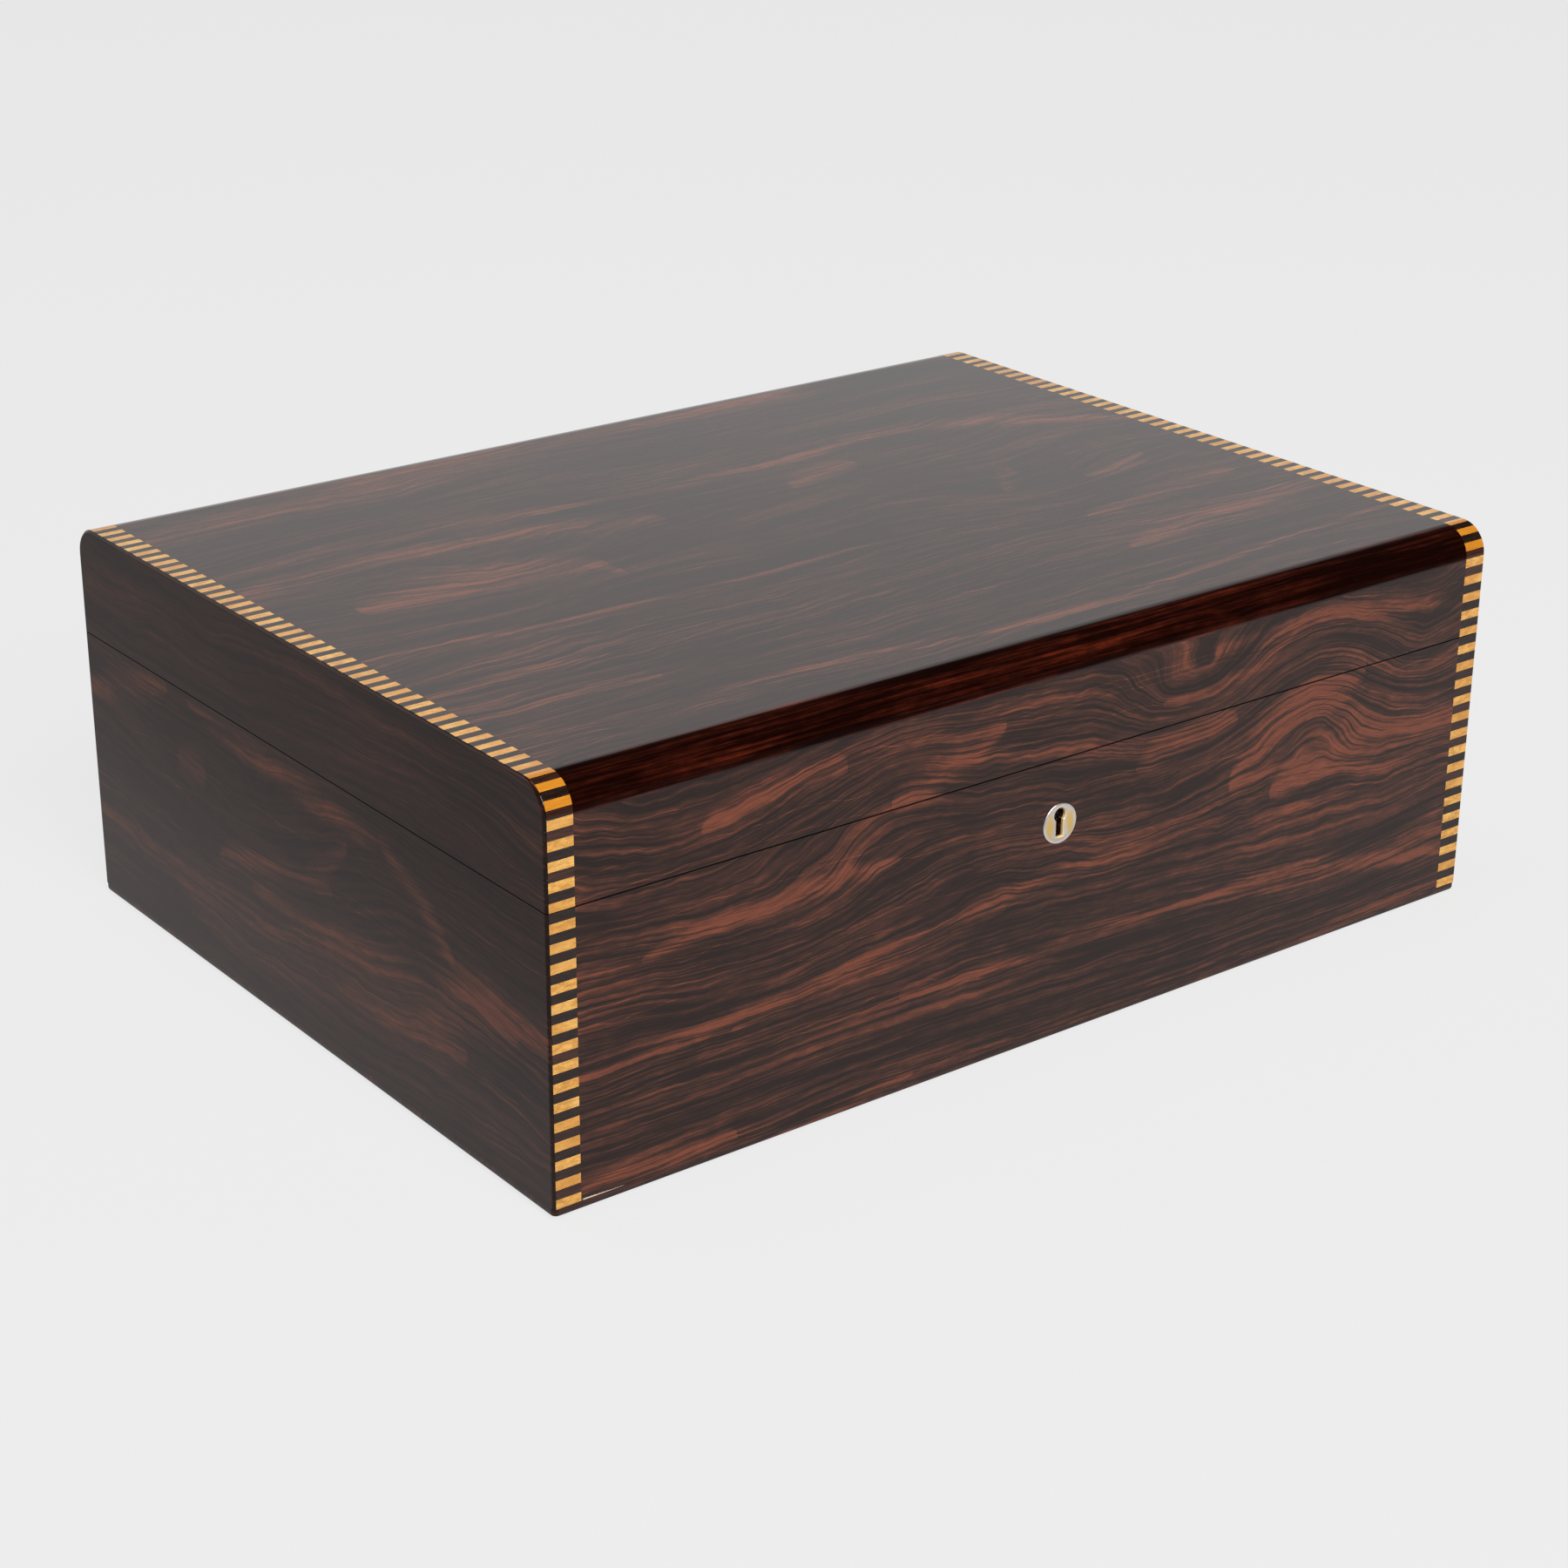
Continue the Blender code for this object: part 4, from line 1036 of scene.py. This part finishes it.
bpy.ops.object.select_all(action="DESELECT")
bpy.ops.mesh.primitive_cylinder_add(
    vertices=48,
    radius=KEY_RADIUS * MM,
    depth=6 * MM,
    location=(0, DISC_FRONT * MM, KEY_Z * MM),
    rotation=(math.pi / 2, 0, 0),
)
key_shape = bpy.context.object
bpy.ops.mesh.primitive_cube_add(
    size=1,
    location=(0, DISC_FRONT * MM, (KEY_Z + SLOT_FOOT) / 2 * MM),
    scale=(SLOT_WIDTH * MM, 6 * MM, (KEY_Z - SLOT_FOOT) * MM),
)
slot_shape = bpy.context.object

# A countersink all round the keyhole: a cone for its round part and a wedge for its slot.
SINK_FROM, SINK_TO, SINK_GROWS = -133.97, -134.77, 0.6
bpy.ops.mesh.primitive_cone_add(
    vertices=48,
    radius1=(KEY_RADIUS + SINK_GROWS) * MM,
    radius2=(KEY_RADIUS - 0.02) * MM,
    depth=(SINK_FROM - SINK_TO) * MM,
    location=(0, (SINK_FROM + SINK_TO) / 2 * MM, KEY_Z * MM),
    rotation=(-math.pi / 2, 0, 0),
)
round_sink = bpy.context.object
bpy.ops.mesh.primitive_cube_add(
    size=1,
    location=(0, (SINK_FROM + SINK_TO) / 2 * MM, (KEY_Z + SLOT_FOOT) / 2 * MM),
    scale=(SLOT_WIDTH * MM, (SINK_FROM - SINK_TO) * MM, (KEY_Z - SLOT_FOOT) * MM),
)
slot_sink = bpy.context.object
cutters = (key_shape, slot_shape, round_sink, slot_sink)
for cutter in cutters:
    only(cutter)
    bpy.ops.object.transform_apply(location=True, rotation=True, scale=True)
pick(slot_sink, lambda co: co.y < (SINK_TO + 0.1) * MM)
wider = (SLOT_WIDTH + 2 * SINK_GROWS) / SLOT_WIDTH
bpy.ops.transform.resize(value=(wider, 1, 1), center_override=(0, 0, 0))
bpy.ops.object.mode_set(mode="OBJECT")
pick(slot_sink, lambda co: co.y < (SINK_TO + 0.1) * MM and co.z < (SLOT_FOOT + 0.1) * MM)
bpy.ops.transform.translate(value=(0, 0, -SINK_GROWS * MM))
bpy.ops.object.mode_set(mode="OBJECT")
for cutter in cutters:
    apply(disc, "BOOLEAN", operation="DIFFERENCE", object=cutter, solver="EXACT")
for cutter in cutters:
    bpy.data.objects.remove(cutter)
smooth(disc, 35)
finish_piece(disc, [plated_brass, keyed_brass], "base", ["escutcheon"])
KEY_TOP = KEY_Z + KEY_RADIUS + SINK_GROWS
for face in disc.data.polygons:
    in_key = abs(face.center.x) < SLOT_WIDTH * MM
    in_key = in_key and (SLOT_FOOT - SINK_GROWS) * MM < face.center.z < KEY_TOP * MM
    if in_key and abs(face.normal.y) < 0.9:
        face.material_index = 1


# Lock and link plate. A steel box lock is sunk in the front board's top edge: its selvedge lies
# flush, with a slot for each of the link plate's two staples. The link plate is let into the
# lid above it. Inside the case are the bolt, its leaf spring and the cap with the drill pin.

lock_steel, *_ = make_metal("lock_steel", (0.66, 0.64, 0.61), (0.42, 0.39, 0.36), 0.5)
spring_brass, *_ = make_metal("spring_brass", (0.78, 0.56, 0.24), (0.50, 0.33, 0.13), 0.8)
for node, name, body in (
    ("lock_case", "box_lock_case", "base"),
    ("link_plate", "lid_link_plate", "lid"),
):
    plate = worked_from(node, name)
    apply(plate, "BEVEL", width=0.15 * MM, segments=2, limit_method="ANGLE")
    smooth(plate)
    finish_piece(plate, [lock_steel], body, [node])
inner_parts = {"lock_cover": lock_steel, "lock_bolt": lock_steel, "lock_spring": spring_brass}
for node, metal in inner_parts.items():
    part = frame["nodes"][node]
    part.data.materials.clear()
    part.data.materials.append(metal)


# Hinges. Two polished brass butt hinges, each knuckle turned to meet the next, on a steel pin
# whose ends are rounded over. The leaves lie in the edges of the back board and the lid.

hinge_brass, *_ = make_metal("hinge_brass", (0.88, 0.64, 0.30), (0.66, 0.44, 0.17), 0.5)
for word in ("left", "right"):
    for half in ("base", "lid"):
        node = f"{word}_hinge_{half}_leaf"
        leaf = worked_from(node, f"{word}_{half}_hinge_leaf")
        apply(leaf, "BEVEL", width=0.18 * MM, segments=2, limit_method="ANGLE", angle_limit=0.7)
        smooth(leaf, 35)
        finish_piece(leaf, [hinge_brass], half, [node])
    node = f"{word}_hinge_pin"
    pin = worked_from(node, f"{word}_hinge_rod")
    apply(pin, "BEVEL", width=0.35 * MM, segments=3, limit_method="ANGLE", angle_limit=1.0)
    smooth(pin, 50)
    finish_piece(pin, [lock_steel], "base", [node])


# Screws. Small countersunk wood screws with slotted heads, each left at its own angle by the
# maker: brass ones in the hinges and steel ones in the lock and the link plate.

SLOT_CUT, SLOT_DEEP, SLOT_LONG = 0.55, 0.6, 6
for count, node in enumerate(sorted(n for n in frame["nodes"] if n.endswith("_screw"))):
    low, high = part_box(node)
    in_lid = frame["nodes"][node]["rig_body"] == "lid"
    head = low.z if in_lid else high.z
    screw = worked_from(node, node.replace("_screw", "_slotted_screw"))
    bpy.ops.mesh.primitive_cube_add(
        size=1,
        location=((low.x + high.x) / 2, (low.y + high.y) / 2, head),
        rotation=(0, 0, 0.5 + 2.4 * count),
        scale=(SLOT_LONG * MM, SLOT_CUT * MM, 2 * SLOT_DEEP * MM),
    )
    slot_cutter = bpy.context.object
    apply(screw, "BOOLEAN", operation="DIFFERENCE", object=slot_cutter, solver="EXACT")
    bpy.data.objects.remove(slot_cutter)
    smooth(screw, 35)
    brass = "hinge" in node
    metal, slot = (hinge_brass, "brass") if brass else (lock_steel, "steel")
    finish_piece(screw, [metal], "lid" if in_lid else "base", [node])


# Cedar linings. Four thin boards line the base and stand 5 mm above the saw line to locate the
# lid; four more line the lid. They are planed, sanded and rubbed with wax, not lacquered.


def make_cedar(name, grain):
    """Waxed cedar, its grain along the first axis named."""
    material, tree, shader, place = new_material(name)
    parts = add(tree, "SeparateXYZ", {0: place}).outputs
    along, across, deep = (parts["XYZ".index(letter)] for letter in grain)
    drift = noise(tree, along, across, deep, (8, 14, 8), 2.0, seed=2.2)
    pushed = maths(tree, "MULTIPLY_ADD", drift, 0.020, across)
    ring = noise(tree, along, pushed, deep, (4, 150, 60), 3.0, 0.6, seed=3.3)
    fibre = noise(tree, along, pushed, deep, (90, 2400, 1200), 2.0, 0.6, seed=4.4)
    pore = noise(tree, along, across, deep, (110, 1900, 900), 1.0, 0.5, seed=5.5)
    colour = blend(tree, fade(tree, ring, 0.36, 0.66), (0.40, 0.175, 0.082), (0.225, 0.082, 0.037))
    colour = shaded(tree, colour, fade(tree, fibre, 0.3, 0.7, 0.82, 1.14))
    pore = fade(tree, pore, 0.62, 0.72)
    colour = blend(tree, maths(tree, "MULTIPLY", pore, 0.55), colour, (0.085, 0.032, 0.015))
    rough = fade(tree, ring, 0.3, 0.7, 0.46, 0.62)
    height = maths(tree, "MULTIPLY_ADD", pore, -1.0, fibre)
    feed(tree, shader, Base_Color=colour, Roughness=rough, Normal=bump(tree, height, 0.35, 0.00012))
    return material


cedar_across = make_cedar("cedar_long", "XZY")
cedar_ends = make_cedar("cedar_end", "YZX")
for prefix, body, thick, top in (("base", "base", 4, 97.2), ("lid", "lid", 3, 98.0)):
    inner = INNER_X - thick - 4 * GLUE
    for word, side in (("left", -1), ("right", 1)):
        liner = worked_from(f"{prefix}_{word}_liner", f"{prefix}_{word}_lining")
        slide(liner, X, (side * (INNER_X - 2 * GLUE), side * INNER_X))
        slide(liner, Y, (-INNER_Y + 2 * GLUE, -INNER_Y), (INNER_Y - 2 * GLUE, INNER_Y))
        ease(liner, lambda co: abs(co.z - top * MM) < 0.1 * MM, 0.9, 3)
        smooth(liner, 50)
        finish_piece(liner, [cedar_ends], body, [f"{prefix}_{word}_liner"])
    for word, side in (("front", -1), ("back", 1)):
        liner = worked_from(f"{prefix}_{word}_liner", f"{prefix}_{word}_lining")
        slide(liner, Y, (side * (INNER_Y - 2 * GLUE), side * INNER_Y))
        slide(liner, X, (-inner, -inner - 2 * GLUE), (inner, inner + 2 * GLUE))
        ease(liner, lambda co: abs(co.z - top * MM) < 0.1 * MM, 0.9, 3)
        smooth(liner, 50)
        finish_piece(liner, [cedar_across], body, [f"{prefix}_{word}_liner"])


# Suede pads. Brown suede is drawn over a sheet of thin wadding and card and turned under all
# round. One pad lies on the floor of the base, and one is glued up inside the lid.


def make_suede():
    """Suede: a short nap, brushed lighter and darker in soft patches."""
    material, tree, shader, place = new_material("brown_suede")
    parts = add(tree, "SeparateXYZ", {0: place}).outputs
    patch = noise(tree, *parts, (22, 22, 22), 3.0, 0.55, seed=1.1)
    nap = noise(tree, *parts, (1500, 1500, 1500), 2.0, 0.7, seed=2.2)
    hair = noise(tree, *parts, (500, 2600, 900), 2.0, 0.6, seed=3.3)
    colour = blend(tree, fade(tree, patch, 0.35, 0.68), (0.110, 0.052, 0.035), (0.140, 0.067, 0.045))
    light = fade(tree, maths(tree, "ADD", nap, hair), 0.7, 1.3, 0.72, 1.22)
    feed(
        tree,
        shader,
        Base_Color=shaded(tree, colour, light),
        Roughness=fade(tree, nap, 0.3, 0.7, 0.85, 0.98),
        Normal=bump(tree, nap, 0.5, 0.00015),
        Sheen_Weight=0.25,
        Sheen_Roughness=0.45,
        Specular_IOR_Level=0.1,
    )
    return material


brown_suede = make_suede()


def make_pad(name, half_x, half_y, back, face):
    """A thin pad with rolled edges. Its face bulges from the back's height to the face's."""
    bpy.ops.object.select_all(action="DESELECT")
    bpy.ops.mesh.primitive_grid_add(x_subdivisions=64, y_subdivisions=46, size=2)
    pad = bpy.context.object
    pad.name = name
    bpy.ops.object.mode_set(mode="EDIT")
    bpy.ops.mesh.select_all(action="SELECT")
    bpy.ops.transform.resize(value=(half_x * MM, half_y * MM, 1))
    bpy.ops.transform.translate(value=(0, 0, back * MM))
    rise = {"value": (0, 0, (face - back) * MM)}
    bpy.ops.mesh.extrude_region_move(TRANSFORM_OT_translate=rise)
    bpy.ops.mesh.select_all(action="SELECT")
    bpy.ops.mesh.normals_make_consistent(inside=False)
    bpy.ops.object.mode_set(mode="OBJECT")
    for point in pad.data.vertices:
        if abs(point.co.z - face * MM) > 0.01 * MM:
            continue
        inwards = min(half_x * MM - abs(point.co.x), half_y * MM - abs(point.co.y)) / MM
        wave = math.sin(point.co.x * 71 + 1.3) * math.sin(point.co.y * 83 + 0.4)
        sink = 0.16 * (1 + wave) / 2 + 0.45 * math.exp(-inwards / 4)
        point.co.z += sink * MM * (1 if back > face else -1)
    smooth(pad, 60)
    return pad


floor_pad = make_pad("suede_floor_pad", 163.55, 117.55, 9.7, 11.5)
finish_piece(floor_pad, [brown_suede], "base", ["floor_pad"])
lid_pad = make_pad("suede_lid_pad", 167.9, 121.9, 118.15, 116.55)
finish_piece(lid_pad, [brown_suede], "lid", ["lid_pad"])


# Floor board and baize. A plain birch board closes the base under the pad. Charcoal baize is
# glued under the sole, cut 4 mm short of its edge all round, so that the box can't scratch.


def make_birch():
    """Plain birch plywood."""
    material, tree, shader, place = new_material("birch_board")
    parts = add(tree, "SeparateXYZ", {0: place}).outputs
    fibre = noise(tree, *parts, (12, 420, 900), 3.0, 0.6, seed=1.0)
    cloud = noise(tree, *parts, (9, 24, 30), 2.0, 0.5, seed=2.0)
    colour = blend(tree, fade(tree, fibre, 0.35, 0.7), (0.46, 0.32, 0.19), (0.36, 0.23, 0.13))
    colour = blend(tree, fade(tree, cloud, 0.4, 0.7, 0, 0.4), colour, (0.50, 0.36, 0.22))
    rough = fade(tree, fibre, 0.3, 0.7, 0.55, 0.7)
    feed(tree, shader, Base_Color=colour, Roughness=rough, Normal=bump(tree, fibre, 0.3, 0.0001))
    return material


floor_board = frame["nodes"]["floor_board"]
floor_board.data.materials.clear()
floor_board.data.materials.append(make_birch())


def make_baize():
    """Charcoal baize: a felted wool cloth with a short nap."""
    material, tree, shader, place = new_material("charcoal_baize")
    parts = add(tree, "SeparateXYZ", {0: place}).outputs
    nap = noise(tree, *parts, (1300, 1300, 1300), 3.0, 0.7, seed=1.7)
    cloud = noise(tree, *parts, (60, 60, 60), 2.0, 0.5, seed=2.7)
    colour = blend(tree, fade(tree, nap, 0.3, 0.7), (0.012, 0.011, 0.011), (0.030, 0.028, 0.027))
    colour = blend(tree, fade(tree, cloud, 0.4, 0.7, 0, 0.4), colour, (0.020, 0.018, 0.018))
    feed(
        tree,
        shader,
        Base_Color=colour,
        Roughness=fade(tree, cloud, 0.3, 0.7, 0.9, 1.0),
        Normal=bump(tree, nap, 0.8, 0.0003),
        Sheen_Weight=0.2,
        Specular_IOR_Level=0.05,
    )
    return material


baize = worked_from("base_felt", "baize_underside")
slide(baize, Z, (0.8, 1.1))
for corner_x in (-176, 176):
    for corner_y in (-130, 130):
        spot = Vector((corner_x * MM, corner_y * MM, 0))
        ease(baize, lambda co: (co.to_2d() - spot.to_2d()).length < 0.1 * MM, 3, 5)
smooth(baize)
finish_piece(baize, [make_baize()], "base", ["base_felt"])


# Setting: a plain pale floor, a large soft light in front and a weaker one overhead, a low
# bright wall behind and on the left, and the camera.

floor_material, floor_tree, floor_shader, floor_place = new_material("floor")
cloud = add(floor_tree, "TexNoise", {"Vector": floor_place, "Scale": 3.0}).outputs["Fac"]
# Reflected in the lacquer, the floor is a pale sheet that ends half a metre in front of the box
# and is dimmer beside its left end. Seen by the camera it's the same all over.
rays = add(floor_tree, "LightPath").outputs
spots = add(floor_tree, "SeparateXYZ", {0: floor_place}).outputs
sheet = fade(floor_tree, spots[Y], -0.58, -0.44)
dim = fade(floor_tree, spots[X], -0.30, -0.18, 0.42, 0.66)
dim = maths(floor_tree, "MAXIMUM", dim, maths(floor_tree, "GREATER_THAN", spots[X], -0.179))
mirrored = maths(floor_tree, "SUBTRACT", 1.0, maths(floor_tree, "MULTIPLY", sheet, dim))
mirrored = maths(floor_tree, "MULTIPLY", mirrored, rays["Is Glossy Ray"])
pale = maths(floor_tree, "MULTIPLY_ADD", rays["Is Diffuse Ray"], -0.47, 0.775)
pale = maths(floor_tree, "MULTIPLY_ADD", mirrored, -0.775, pale)
feed(
    floor_tree,
    floor_shader,
    Base_Color=blend(floor_tree, cloud, (0.057, 0.057, 0.057), (0.063, 0.063, 0.063)),
    Emission_Color=(1, 1, 1, 1),
    Emission_Strength=pale,
    Roughness=1.0,
    Specular_IOR_Level=0.0,
)
bpy.ops.object.select_all(action="DESELECT")
bpy.ops.mesh.primitive_plane_add(size=30, location=(0, 0, 0))
floor = bpy.context.object
floor.name = "floor"
floor.data.materials.append(floor_material)

world = bpy.data.worlds.new("studio")
bpy.context.scene.world = world
world.use_nodes = True
sky = world.node_tree
sky.nodes.clear()
direction = add(sky, "TexCoord").outputs["Generated"]
ways = add(sky, "SeparateXYZ", {0: direction}).outputs
low_band = fade(sky, ways[Z], 0.50, 0.60, 1.0, 0.0)
behind = fade(sky, ways[Y], 0.40, 0.62)
left_side = fade(sky, ways[X], 0.15, -0.25, 0.0, 0.16)
wall = maths(sky, "MULTIPLY", low_band, maths(sky, "MAXIMUM", behind, left_side))
glow = maths(sky, "MULTIPLY_ADD", wall, 0.80, 0.025)
seen = add(sky, "LightPath").outputs["Is Camera Ray"]
level = add(sky, "Mix", {0: seen, 2: glow, 3: 0.83}, data_type="FLOAT").outputs[0]
backdrop = add(sky, "Background", {"Color": (1, 1, 1, 1), "Strength": level})
world_output = sky.nodes.new("ShaderNodeOutputWorld")
sky.links.new(backdrop.outputs[0], world_output.inputs["Surface"])


def softbox(name, place, size, power):
    """A square soft light that faces the middle of the box."""
    data = bpy.data.lights.new(name, "AREA")
    data.shape = "SQUARE"
    data.size = size
    data.energy = power
    lamp = bpy.data.objects.new(name, data)
    lamp.location = place
    aim = Vector((0, 0, 0.06)) - lamp.location
    lamp.rotation_euler = aim.to_track_quat("-Z", "Y").to_euler()
    bpy.context.scene.collection.objects.link(lamp)


softbox("front_softbox", (-0.45, -2.0, 1.75), 1.3, 84)
softbox("overhead_softbox", (-0.6, 0.3, 2.4), 1.2, 18)

camera_data = bpy.data.cameras.new("camera")
camera_data.lens = 74.28
camera_data.sensor_width = 36
camera_data.clip_start = 0.01
camera_data.clip_end = 100
camera = bpy.data.objects.new("camera", camera_data)
camera.location = (-0.5957, -0.7776, 0.4515)
target = Vector((-0.00322, -0.0049, 0.04126))
look = (target - camera.location).to_track_quat("-Z", "Y").to_matrix()
roll = math.radians(0.339)
side_way = look.col[0] * math.cos(roll) + look.col[1] * math.sin(roll)
up_way = look.col[1] * math.cos(roll) - look.col[0] * math.sin(roll)
look.col[0] = side_way
look.col[1] = up_way
camera.rotation_euler = look.to_euler()
bpy.context.scene.collection.objects.link(camera)
bpy.context.scene.camera = camera
bpy.context.scene.view_settings.view_transform = "Standard"

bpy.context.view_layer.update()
